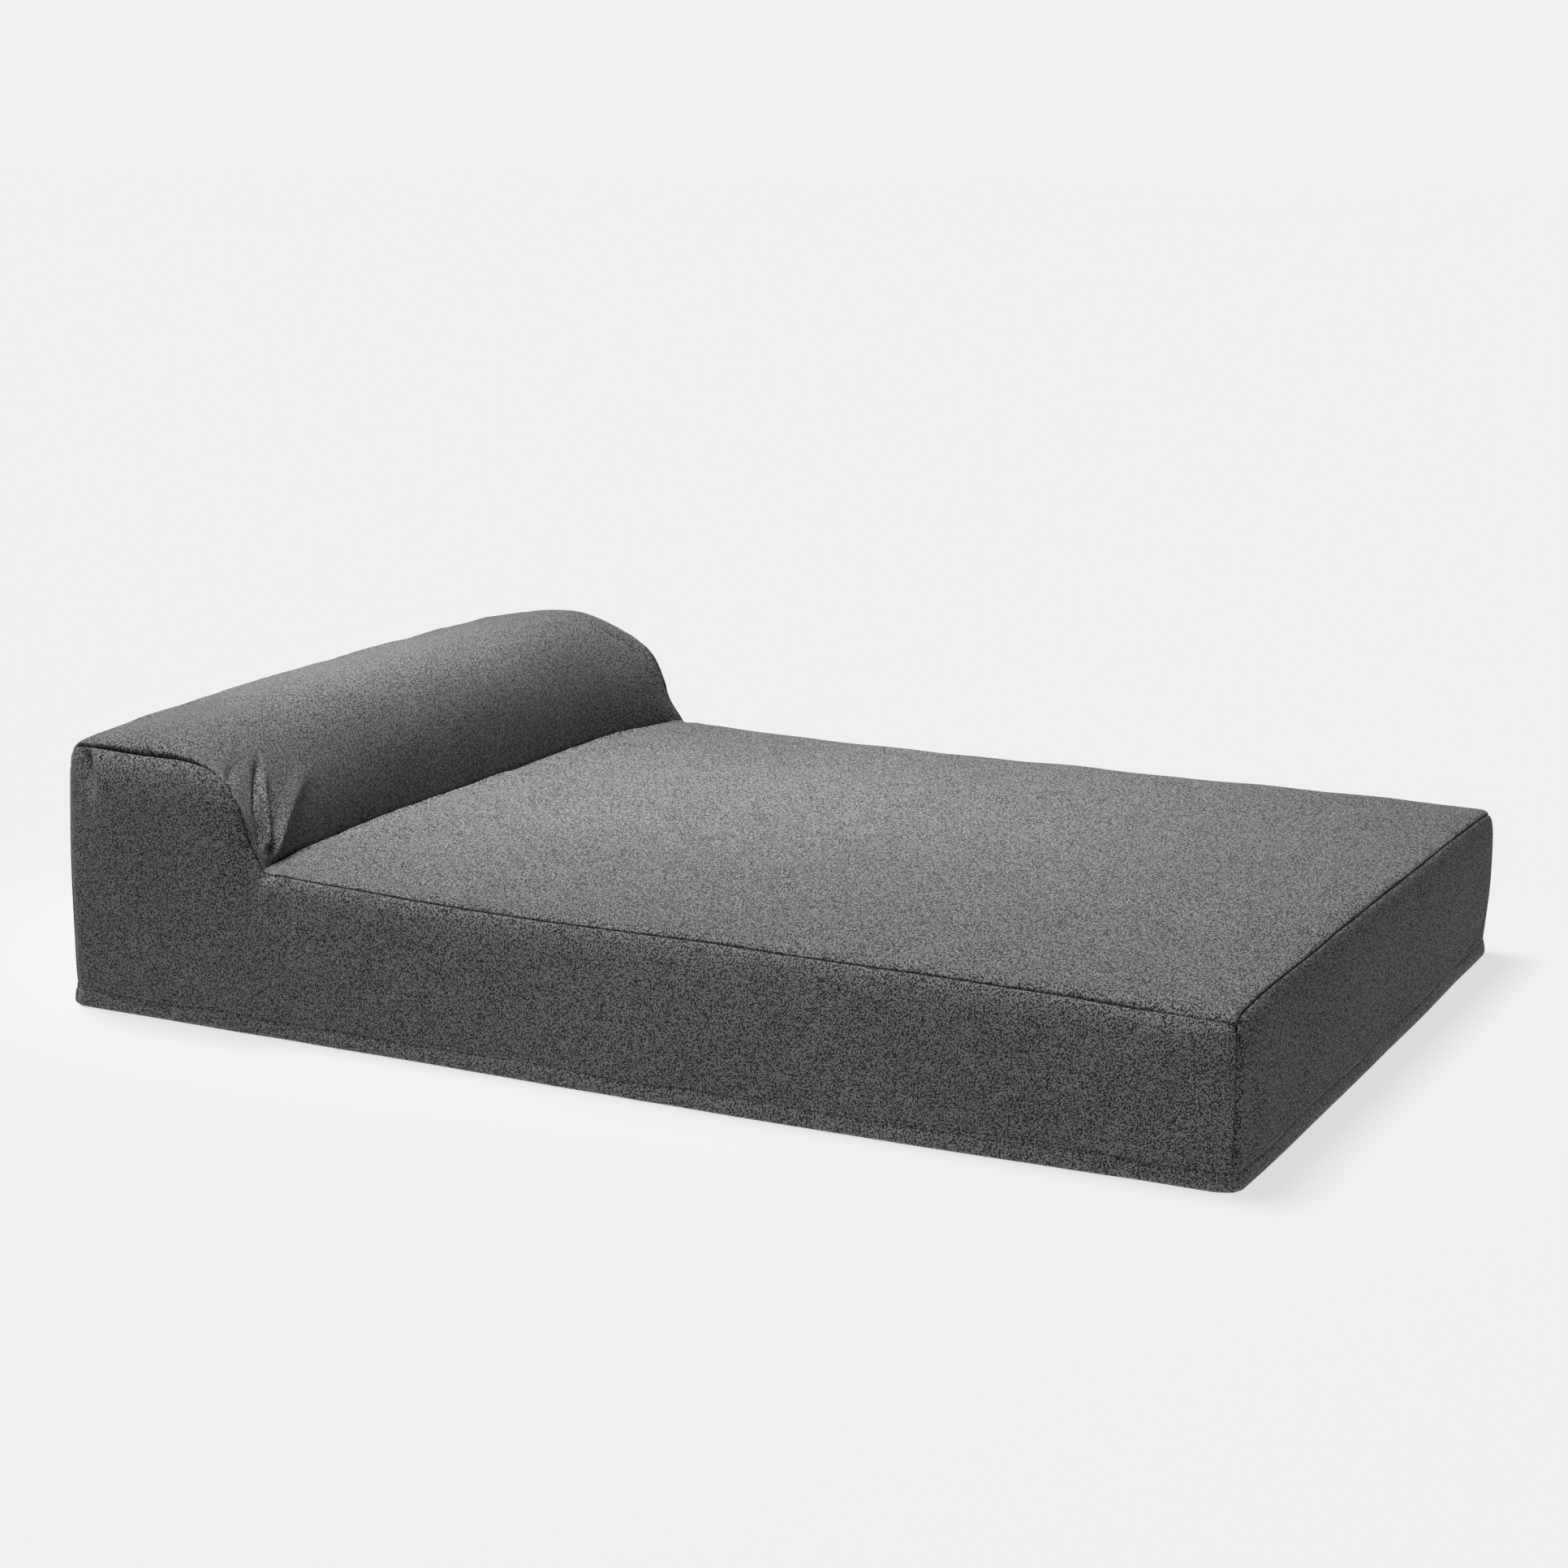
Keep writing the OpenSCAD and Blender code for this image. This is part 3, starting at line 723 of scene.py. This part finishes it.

# The hem band's section from its top edge round to the back: out from the hem's line, and up, in
# tenths of a millimetre. The third value is how many tenths of painted seam shade fall there: a dark line standing in
# for the shade in the topstitched groove.
HEM_SECTION = np.array([
    (-36, 370, 0), (-16, 372, 3), (-2, 362, 2), (8, 345, 0), (12, 325, 0), (8, 308, 2), (2, 295, 6), (13, 282, 2),
    (24, 262, 0), (35, 220, 0), (45, 170, 0), (52, 115, 0), (50, 60, 0), (34, 22, 0), (5, 8, 0), (-35, 12, 0),
    (-50, 40, 0), (-55, 120, 0), (-55, 280, 0), (-50, 350, 0)]) / (10000, 10000, 10)
ELASTIC_SECTION = np.array([(-30, 255, 0), (-30, 170, 0), (-30, 85, 0), (-42, 85, 0), (-42, 170, 0),
                            (-42, 255, 0)]) / 10000
MITRE = 0.04  # length over which neighbouring bands turn to meet at a corner


def sweep(section, line, outwards, seed):
    """Loops of a section swept along one side's hem line, mitred to meet the next sides'."""
    arc = arc_down(line)
    places = np.linspace(0, arc[-1], int(arc[-1] / 0.004))
    base = stack(*(np.interp(places, arc, line[:, k]) for k in (0, 1)))
    along = np.array([outwards[1], -outwards[0]], float)
    along *= np.sign(along @ (base[-1] - base[0]))
    start, end = 1 - smooth(places / MITRE), 1 - smooth((arc[-1] - places) / MITRE)
    direction = np.array(outwards, float) + (end - start)[:, None] * along
    ease = (1 - start) * (1 - end)
    slow, quick = waves(seed, 7, 0.1, 0.5), waves(seed + 1, 8, 0.03, 0.1)
    puff = ease * (0.0014 * slow(places, 0) + 0.0007 * quick(places, 0))
    sway = ease * (0.0026 * slow(places, 1) + 0.0008 * quick(places, 1))
    # the section's third value is the share of painted seam shade
    out, up, seam_shaded = section.T
    belly = np.exp(-((up - 0.018) / 0.012) ** 2)
    reach = out + puff[:, None] * belly * (out > -0.003)
    x, y = np.moveaxis(base[:, None, :] + direction[:, None, :] * reach[..., None], 2, 0)
    z = up + sway[:, None] * np.exp(-((up - 0.0295) / 0.006) ** 2) * (out > -0.003)
    return settle(stack(x, y, z)), stack(y if outwards[0] else x, -z, seam_shaded)


SIDES = {"near": ((0, -1), 81), "foot": ((1, 0), 85), "far": ((0, 1), 83), "head": ((-1, 0), 87)}
hems, elastic_loops = {}, []
for name, (outwards, seed) in SIDES.items():
    loops, cloth = sweep(HEM_SECTION, hem_lines[name], outwards, seed)
    hems[name] = tube_mesh("hem_" + name, loops)
    give_cloth(hems[name], cloth, cloth)
    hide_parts("hem_band_" + name)
    loops, _ = sweep(ELASTIC_SECTION, hem_lines[name], outwards, seed)
    elastic_loops.append(loops if name in ("near", "foot") else loops[::-1])
elastic = tube_mesh("elastic_band", np.concatenate(elastic_loops))
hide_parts("hem_elastic")

# ---- filling

FILL_W = SEAM_Y - 0.008  # the filling's half width and half length
FILL_L = SEAM_X - 0.008
FILL_CORNER_R = 0.03
FOAM_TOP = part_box("comfort_foam")[1].z
SUPPORT = [corner.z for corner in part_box("support_foam")]
LAYER_GAP = 0.0004
SAG = 0.005  # deepest hollow in the cover over the wadding
WAD_T = 0.014  # thickness of the batting on the sleeping surface
BOLSTER_GAP = 0.007  # between the cover's line and the bolster's batting
BOLSTER_WAD_T = 0.015
BOLSTER_BASE = FOAM_TOP + LAYER_GAP


def slices(low, high, to_head=True):
    """Closed loops across the bed between two heights that are functions of (x, y), corners cut round.

    They reach from the foot to the head, or only to the crease.
    """
    corner = FILL_CORNER_R
    cut_in = corner * (1 - np.cos(np.linspace(0, pi / 2, 6)))
    y = np.r_[-FILL_W + cut_in[:-1], np.linspace(-FILL_W + corner, FILL_W - corner, 40), FILL_W - cut_in[-2::-1]]
    loops = []
    for value in y:
        over = max(0, abs(value) - FILL_W + corner)
        cut = corner - sqrt(max(corner ** 2 - over ** 2, 0))
        first = cut - FILL_L if to_head else float(crease_x(np.array(value))) + 0.02
        last = FILL_L - cut
        x = first + (last - first) * (1 - np.cos(np.linspace(0, pi, 48))) / 2
        loops.append(np.concatenate([stack(x, value, high(x, value)), stack(x, value, low(x, value))[::-1]]))
    return np.array(loops)


# The height of the cover's line over the seat
seat_x = np.linspace(CREASE_X - 0.01, SEAM_X, 120)
seat_cover = stack(*(np.interp(seat_x, line[:, 0], line[:, 2]) for line in top[STARTS["lip"]:].transpose(1, 0, 2)))


def cover_over(x, y):
    return np.interp(x, seat_x, [np.interp(y, ACROSS, row) for row in seat_cover])


def foam_top(x, y):
    return np.where(x > CREASE_X + 0.07, np.minimum(FOAM_TOP, cover_over(x, y) - WAD_T), FOAM_TOP)


def bolster_loops(inset):
    """Closed loops round the bolster, inset from the cover and standing on the foam."""
    reach = FILL_W - 0.022 - inset / 2
    loops = []
    for y in np.linspace(-reach, reach, 46):
        line = [[np.interp(y, ACROSS, row[:, k]) for k in (0, 2)] for row in top[:STARTS["tuck"]]]
        line = spline(line, np.linspace(0, 1, 64))
        along = unit(np.gradient(line, axis=0))
        depth = inset + 0.008 * smooth((abs(y) - 0.42) / 0.1)
        line = line + depth * stack(along[:, 1], -along[:, 0])
        line[:, 0] = np.maximum(line[:, 0], -HALF_L + 0.006 + depth)
        line[:, 1] = np.maximum(line[:, 1], BOLSTER_BASE + 0.004)
        line = np.vstack([[line[0, 0], BOLSTER_BASE], line, [line[-1, 0], BOLSTER_BASE]])
        loops.append(stack(line[:, 0], y, line[:, 1]))
    return np.array(loops)


def level(z):
    return lambda x, y: z


# piece: its loops, the CAD node it stands for, its fill
filling = {
    "support_block": (slices(level(SUPPORT[0]), level(SUPPORT[1])), "support_foam", 0.98),
    "comfort_block": (slices(level(SUPPORT[1] + LAYER_GAP), foam_top), "comfort_foam", 0.9),
    "seat_wadding": (slices(lambda x, y: foam_top(x, y) + LAYER_GAP,
                            lambda x, y: cover_over(x, y) - CLOTH_T - SAG, False), "seat_batting", 0.7),
    "bolster_block": (bolster_loops(BOLSTER_GAP + BOLSTER_WAD_T), "bolster_foam", 0.9),
    "bolster_wadding": (np.hstack(
        [bolster_loops(BOLSTER_GAP), bolster_loops(BOLSTER_GAP + BOLSTER_WAD_T - LAYER_GAP)[:, ::-1]]),
        "bolster_batting", 0.7),
}
pads = {}
for name, (loops, node, fill) in filling.items():
    pad = pads[name] = tube_mesh(name, loops)
    if name != "bolster_wadding":
        edge = pad.modifiers.new("soft edges", "BEVEL")
        edge.width = 0.004
        edge.segments = 2
        edge.limit_method = "ANGLE"
        edge.angle_limit = radians(40)
    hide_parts(node)

# The cloth under the mattress
grid_u, grid_v = np.meshgrid(np.linspace(-1, 1, 60), np.linspace(-1, 1, 44), indexing="ij")
under = stack(grid_u * (HALF_L - 0.01), grid_v * (HALF_W - 0.01),
              0.0011 + 0.0002 * waves(91, 8, 0.1, 0.5)(grid_u, grid_v))
base_sheet = grid_mesh("base_sheet", under, 0.0008, 0)
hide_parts("base_cloth")

# ---- zip chain

WIRE_R = 0.00034  # radius of the filament
COIL_PITCH = 0.0015
COIL_STEPS = 10  # points for each turn


def coil(name, node, side):
    """One side of the zip's chain: a filament wound along the tape's edge."""
    low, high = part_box(node)
    middle_z = (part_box("zip_coil_upper")[1].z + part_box("zip_coil_lower")[0].z) / 2
    reach = high.z - middle_z if side > 0 else middle_z - low.z
    centre_z, half_z = middle_z + side * reach / 2, reach / 2 - WIRE_R
    centre_x, half_x = (low.x + high.x) / 2, (high.x - low.x) / 2 - WIRE_R
    turns = int((high.y - low.y) / COIL_PITCH)
    t = np.arange(turns * COIL_STEPS + 1) / COIL_STEPS
    angle = 2 * pi * t * side + (0 if side > 0 else pi)
    line = stack(centre_x + half_x * np.cos(angle), low.y + t * COIL_PITCH, centre_z + half_z * np.sin(angle))
    tangent = unit(np.gradient(line, axis=0))
    first = unit(np.cross(tangent, (0, 1, 0)))[:, None]
    second = np.cross(tangent[:, None], first)
    ring = np.arange(4)[:, None] * pi / 2
    obj = tube_mesh(name, line[:, None] + WIRE_R * (first * np.cos(ring) + second * np.sin(ring)))
    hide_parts(node)
    return obj


coils = [coil("coil_upper", "zip_coil_upper", 1), coil("coil_lower", "zip_coil_lower", -1)]

# ---- materials

class Nodes:
    """Short calls for building the node tree of a material or the world."""

    def __init__(self, name, owner=None):
        self.owner = owner or bpy.data.materials.new(name)
        self.owner.use_nodes = True
        self.tree = self.owner.node_tree

    def add(self, kind, inputs=None, **settings):
        """Make a shader node, set it and feed its inputs. Returns its outputs."""
        node = self.tree.nodes.new("ShaderNode" + kind)
        for key, value in settings.items():
            setattr(node, key, value)
        for key, value in (inputs or {}).items():
            self.feed(node.inputs[key], value)
        return node.outputs

    def feed(self, socket, value):
        if isinstance(value, bpy.types.NodeSocket):
            self.tree.links.new(value, socket)
        else:
            socket.default_value = value

    def place(self):
        """Where on its object a point lies, in metres."""
        return self.add("TexCoord")["Object"]

    def split(self, vector):
        return self.add("SeparateXYZ", {0: vector})

    def join(self, *parts):
        return self.add("CombineXYZ", dict(enumerate(parts)))[0]

    def math(self, operation, a, b=0.0):
        return self.add("Math", {0: a, 1: b}, operation=operation)[0]

    def times(self, a, b):
        return self.math("MULTIPLY", a, b)

    def total(self, *terms):
        """The sum of the terms. A pair counts as the product of its values."""
        first, *rest = [self.times(*term) if isinstance(term, tuple) else term for term in terms]
        for term in rest:
            first = self.math("ADD", first, term)
        return first

    def scaled(self, vector, scale):
        return self.add("VectorMath", {0: vector, 1: scale}, operation="MULTIPLY")[0]

    def noise(self, vector, scale, detail=2.0, roughness=0.5):
        return self.add("TexNoise", {"Vector": vector, "Scale": scale, "Detail": detail,
                                     "Roughness": roughness})["Fac"]

    def ramp(self, value, stops):
        shade = self.add("ValToRGB", {"Fac": value})["Color"]
        ramp = shade.node.color_ramp
        while len(ramp.elements) < len(stops):
            ramp.elements.new(0.5)
        for element, (place, colour) in zip(ramp.elements, stops):
            element.position = place
            element.color = (*colour, 1)
        return shade

    def mix(self, factor, a, b, blend_type="MIX"):
        return self.add("Mix", {"Factor": factor, 6: a, 7: b}, data_type="RGBA", blend_type=blend_type)[2]

    def bump(self, height, distance, strength):
        return self.add("Bump", {"Height": height, "Distance": distance, "Strength": strength})["Normal"]

    def surface(self, colour, rough, specular, normal=None, **inputs):
        """Set the shader's own inputs; returns the finished material."""
        inputs.update(Base_Color=colour, Roughness=rough, Specular_IOR_Level=specular)
        if normal:
            inputs["Normal"] = normal
        for key, value in inputs.items():
            self.feed(self.tree.nodes["Principled BSDF"].inputs[key.replace("_", " ")], value)
        return self.owner


YARN = 0.00125  # spacing of the cover cloth's yarns
GRAIN = 0.0022  # how far apart the cloth's light and dark flecks lie
DARK_YARN = (0.0133, 0.0134, 0.0136)
LIGHT_YARN = (0.2135, 0.214, 0.2165)
MIDDLE_YARN = tuple((a + b) * 0.36 for a, b in zip(DARK_YARN, LIGHT_YARN))
MIDDLE_TONE = 0.49  # the tone at which the yarns have their middle shade
# painted shade: the dark colour the cloth takes beside each seam, in place of the shade in its groove
SEAM_SHADE = (0.01, 0.01, 0.011, 1)


def heather_cloth(name, depth=1.0, spread=0.085, marked=True):
    """Plain-woven melange upholstery cloth, whose yarns change shade every few millimetres.

    depth scales the dye; on the end panels its low value is painted shade, darkening the foot and head
    as if they stood in deeper shade. spread is how softly light and dark yarns shade into each
    other. marked is False for a piece that give_cloth() hasn't marked. Beside a marked piece's seams
    the cloth is painted dark, standing in for the shade in the seams' grooves.
    """
    n = Nodes(name)
    if marked:
        u, v, close = n.split(n.add("Attribute", attribute_name="cloth")["Vector"])
        along, across, _ = n.split(n.add("Attribute", attribute_name="fleck")["Vector"])
    else:
        _, u, v = n.split(n.place())
        along, across, close = u, v, 0.0
    cloth = n.join(u, v)
    # turned, so the noise's own grid doesn't line up with the yarns
    turned = n.add("VectorRotate", {"Vector": n.join(along, across), "Rotation": (0.7, 0.5, 0.4)},
                   rotation_type="EULER_XYZ")[0]
    jitter = n.noise(cloth, 1 / 0.006, 1)
    warp = n.math("SINE", n.total((u, pi / YARN), (jitter, 5)))
    weft = n.math("SINE", n.total((v, pi / YARN), (jitter, -4)))
    weave = n.math("ABSOLUTE", n.times(warp, weft))
    fleck = n.noise(turned, 1 / GRAIN, 1, 0.35)
    fibre = n.noise(n.scaled(cloth, (1, 0.4, 1)), 1 / 0.0009, 1)
    patch = n.noise(turned, 1 / (2.6 * GRAIN), 0)
    tone = n.total((fleck, 0.74), (fibre, 0.12), (patch, 0.1), (weave, 0.04))
    shade = n.ramp(tone, [(MIDDLE_TONE - spread, DARK_YARN), (MIDDLE_TONE, MIDDLE_YARN),
                          (MIDDLE_TONE + spread, LIGHT_YARN)])
    # slow random change of tone, times depth; on the end panels this also paints in shade
    wear_and_painted_shade = n.times(n.total((n.noise(cloth, 1 / 0.3, 2), 0.2), 0.9), depth)
    hue = n.noise(cloth, 1 / 0.02, 2)
    warm = n.times(wear_and_painted_shade, n.total((hue, 0.2), 0.9))
    cool = n.times(wear_and_painted_shade, n.total((hue, -0.2), 1.1))
    tinted = n.mix(1, shade, n.join(warm, wear_and_painted_shade, cool), "MULTIPLY")
    # painted shade: beside each seam the cloth is darkened towards this colour, standing in for the groove's shade
    seam_shaded = n.mix(n.times(close, 0.75), tinted, SEAM_SHADE)
    height = n.total((weave, 0.35), (fibre, 0.5), (fleck, 0.35))
    return n.surface(seam_shaded, 0.92, 0.2, n.bump(height, 0.0005, 0.25), Sheen_Weight=0.05, Sheen_Roughness=0.5)


def woven(name, dark, light, pitch, rough=0.8, groove=0.0003):
    """Tape, webbing or lining: a fine even weave with its own shade changes."""
    n = Nodes(name)
    place = n.place()
    x, y, z = n.split(place)
    along = n.math("SINE", n.times(y, pi / pitch))
    ends = n.math("SINE", n.times(n.total(z, x), pi / pitch))
    weave = n.math("ABSOLUTE", n.times(along, ends))
    tone = n.total((weave, 0.4), (n.noise(place, 1 / (3 * pitch), 2), 0.6))
    return n.surface(n.ramp(tone, [(0.25, dark), (0.7, light)]), rough, 0.25, n.bump(weave, groove, 0.6),
                     Sheen_Weight=0.1)


def foam(name, dark, light, cell):
    """Open-cell foam: fine pores, and a slow change of shade."""
    n = Nodes(name)
    place = n.place()
    pores = n.add("TexVoronoi", {"Vector": place, "Scale": 1 / cell})["Distance"]
    tone = n.total((pores, 0.5), (n.noise(place, 1 / 0.05, 3), 0.6))
    return n.surface(n.ramp(tone, [(0.25, dark), (0.75, light)]), 0.95, 0.15, n.bump(pores, cell * 0.6, 0.7),
                     Subsurface_Weight=0.05)


def wadding(name):
    """Polyester batting: matted white fibres with soft hollows."""
    n = Nodes(name)
    place = n.place()
    lump = n.noise(place, 1 / 0.035, 3)
    strands = n.noise(n.scaled(place, (1, 0.18, 1)), 1 / 0.0015, 3, 0.7)
    crossing = n.noise(n.scaled(place, (0.2, 1, 1)), 1 / 0.0015, 3, 0.7)
    height = n.total((strands, 0.3), (crossing, 0.3), (lump, 2))
    colour = n.ramp(n.total((strands, 0.5), (lump, 0.5)), [(0.3, (0.62, 0.61, 0.58)), (0.7, (0.86, 0.86, 0.83))])
    return n.surface(colour, 0.95, 0.15, n.bump(height, 0.003, 0.8), Sheen_Weight=0.3)


def metal(name, dark, light, rough):
    """Die-cast and plated zinc: faint casting grain and handling marks."""
    n = Nodes(name)
    place = n.place()
    marks = n.noise(n.scaled(place, (1, 0.15, 1)), 1 / 0.001, 2)
    colour = n.ramp(n.noise(place, 1 / 0.004, 2), [(0.35, dark), (0.65, light)])
    return n.surface(colour, n.total((marks, 0.25), rough - 0.12), 0.5,
                     n.bump(n.noise(place, 1 / 0.0004, 3), 0.00005, 0.4), Metallic=1.0)


def filament(name):
    """Moulded polyester coil, slightly glossy, its dye a little uneven."""
    n = Nodes(name)
    place = n.place()
    colour = n.ramp(n.noise(place, 1 / 0.003, 2), [(0.35, (0.02, 0.02, 0.022)), (0.65, (0.045, 0.045, 0.048))])
    return n.surface(colour, 0.42, 0.5, n.bump(n.noise(place, 1 / 0.0003, 1), 0.00003, 0.3))


def dress(material, *pieces):
    """Give pieces a material. A piece can be a CAD node's name."""
    for piece in pieces:
        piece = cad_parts[piece] if isinstance(piece, str) else piece
        piece.data.materials.clear()
        piece.data.materials.append(material)


dress(heather_cloth("cover_cloth_top"), cover["top"])
dress(heather_cloth("cover_cloth_side", 0.97, 0.07), cover["near"], cover["far"])
# painted shade: the end panels' dye is darkened to 0.68 so that the foot end looks as shaded as it should
dress(heather_cloth("cover_cloth_end", 0.68, 0.045), cover["foot"], cover["head"])
dress(heather_cloth("cover_cloth_hem", 1.15, 0.07), *hems.values())
dress(woven("base_lining", (0.01, 0.01, 0.011), (0.03, 0.03, 0.032), 0.0016), base_sheet)
dress(foam("support_foam_grey", (0.34, 0.35, 0.36), (0.52, 0.53, 0.54), 0.0016), pads["support_block"])
dress(foam("comfort_foam_cream", (0.62, 0.57, 0.42), (0.82, 0.78, 0.62), 0.0012),
      pads["comfort_block"], pads["bolster_block"])
dress(wadding("polyester_batting"), pads["seat_wadding"], pads["bolster_wadding"])
dress(filament("zip_filament"), *coils)
dress(woven("elastic_knit", (0.45, 0.45, 0.44), (0.8, 0.8, 0.78), 0.001, 0.85), elastic)
dress(woven("zip_tape_weave", (0.014, 0.014, 0.015), (0.04, 0.04, 0.043), 0.0008), "zip_tape_upper", "zip_tape_lower")
dress(metal("zip_nickel", (0.42, 0.42, 0.43), (0.62, 0.62, 0.63), 0.34),
      "zip_slider", "zip_slider_pin", "zip_pull_tab", "zip_top_stops", "zip_bottom_stop")
dress(heather_cloth("facing_cloth", marked=False), "zip_facing_upper", "zip_facing_lower")
dress(woven("zip_tab_weave", (0.02, 0.02, 0.022), (0.06, 0.06, 0.064), 0.0007), "zip_end_tabs")
dress(woven("loop_tape", (0.01, 0.01, 0.011), (0.05, 0.05, 0.052), 0.0011, 0.95, 0.0008), "crease_loop_strip")
dress(woven("tuck_tape", (0.03, 0.03, 0.033), (0.08, 0.08, 0.085), 0.001, 0.9), "crease_tuck_strip")

# ---- the soft pieces' cut sizes, areas and supports, listed here but not passed on to anything

SHEETS = {
    # piece: flat size as cut, flat area, what it lies on
    "top": ((1.40, 2.30), None, ["seat_wadding", "bolster_wadding"]),
    "near": ((2.02, 0.43), 0.55, ["support_block", "comfort_block"]),
    "far": ((2.02, 0.43), 0.55, ["support_block", "comfort_block"]),
    "foot": ((1.41, 0.23), None, ["support_block"]),
    "head": ((1.41, 0.39), None, ["bolster_wadding", "support_block"]),
}
for name, (size, area, on) in SHEETS.items():
    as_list(on)

# ---- stage

scene = bpy.context.scene
scene.view_settings.view_transform = "Standard"

FLOOR_R = 60  # half the floor's width
floor_mesh = bpy.data.meshes.new("floor")
floor_mesh.from_pydata([(x * FLOOR_R, y * FLOOR_R, 0) for x, y in ((-1, -1), (1, -1), (1, 1), (-1, 1))], [],
                       [(0, 1, 2, 3)])
floor = new_object("floor", floor_mesh)
dress(Nodes("floor").surface((0.12, 0.12, 0.12, 1), 1, 0, Emission_Color=(0.7, 0.7, 0.7, 1),
                             Emission_Strength=1.0), floor)

# The sky is as pale as the floor near the horizon and dark above, so the lamps do the lighting
world = scene.world = bpy.data.worlds.new("studio")
sky = Nodes("studio", world)
height = sky.split(sky.add("TexCoord")["Generated"])["Z"]
sky.feed(sky.tree.nodes["Background"].inputs["Color"],
         sky.ramp(height, [(0.12, (0.872, 0.872, 0.872)), (0.22, (0.05, 0.05, 0.05))]))


def turned(degrees, axis):
    return Matrix.Rotation(radians(degrees), 4, axis)


def spot(name, energy, cone, softness, place, turn):
    data = bpy.data.lights.new(name, "SPOT")
    data.energy = energy
    data.spot_size = radians(cone)
    data.spot_blend = 1.0
    data.shadow_soft_size = softness
    new_object(name, data).matrix_world = Matrix.Translation(place) @ turn


sun_data = bpy.data.lights.new("overhead", "SUN")
sun_data.energy = 4.35
sun_data.angle = radians(20)
new_object("overhead", sun_data).rotation_euler = (radians(-2), radians(-18), 0)
spot("pool", 450, 30, 0.5, (-0.75, 1, 3.3), turned(-14, "X") @ turned(-15, "Y"))  # on the far seat
spot("wash", 330, 36, 0.4, (-1.4, -0.05, 3), turned(-12.8, "Y"))  # on the bolster
spot("fill", 36, 44, 0.5, (0.15, -3.6, 1.6), turned(64, "X"))  # on the near side

CAMERA_AT = (2.2291, -4.5118, 1.4525)
CAMERA_TURN, CAMERA_DOWN, CAMERA_ROLL = 0.4662, 0.2179, 0.0041  # in radians
camera_data = bpy.data.cameras.new("camera")
camera_data.sensor_width = 36
camera_data.lens = 70.06
camera_data.clip_end = 200
camera = new_object("camera", camera_data)
camera.matrix_world = (Matrix.Translation(CAMERA_AT) @ Matrix.Rotation(CAMERA_TURN, 4, "Z")
                       @ Matrix.Rotation(pi / 2 - CAMERA_DOWN, 4, "X") @ Matrix.Rotation(CAMERA_ROLL, 4, "Z"))
scene.camera = camera
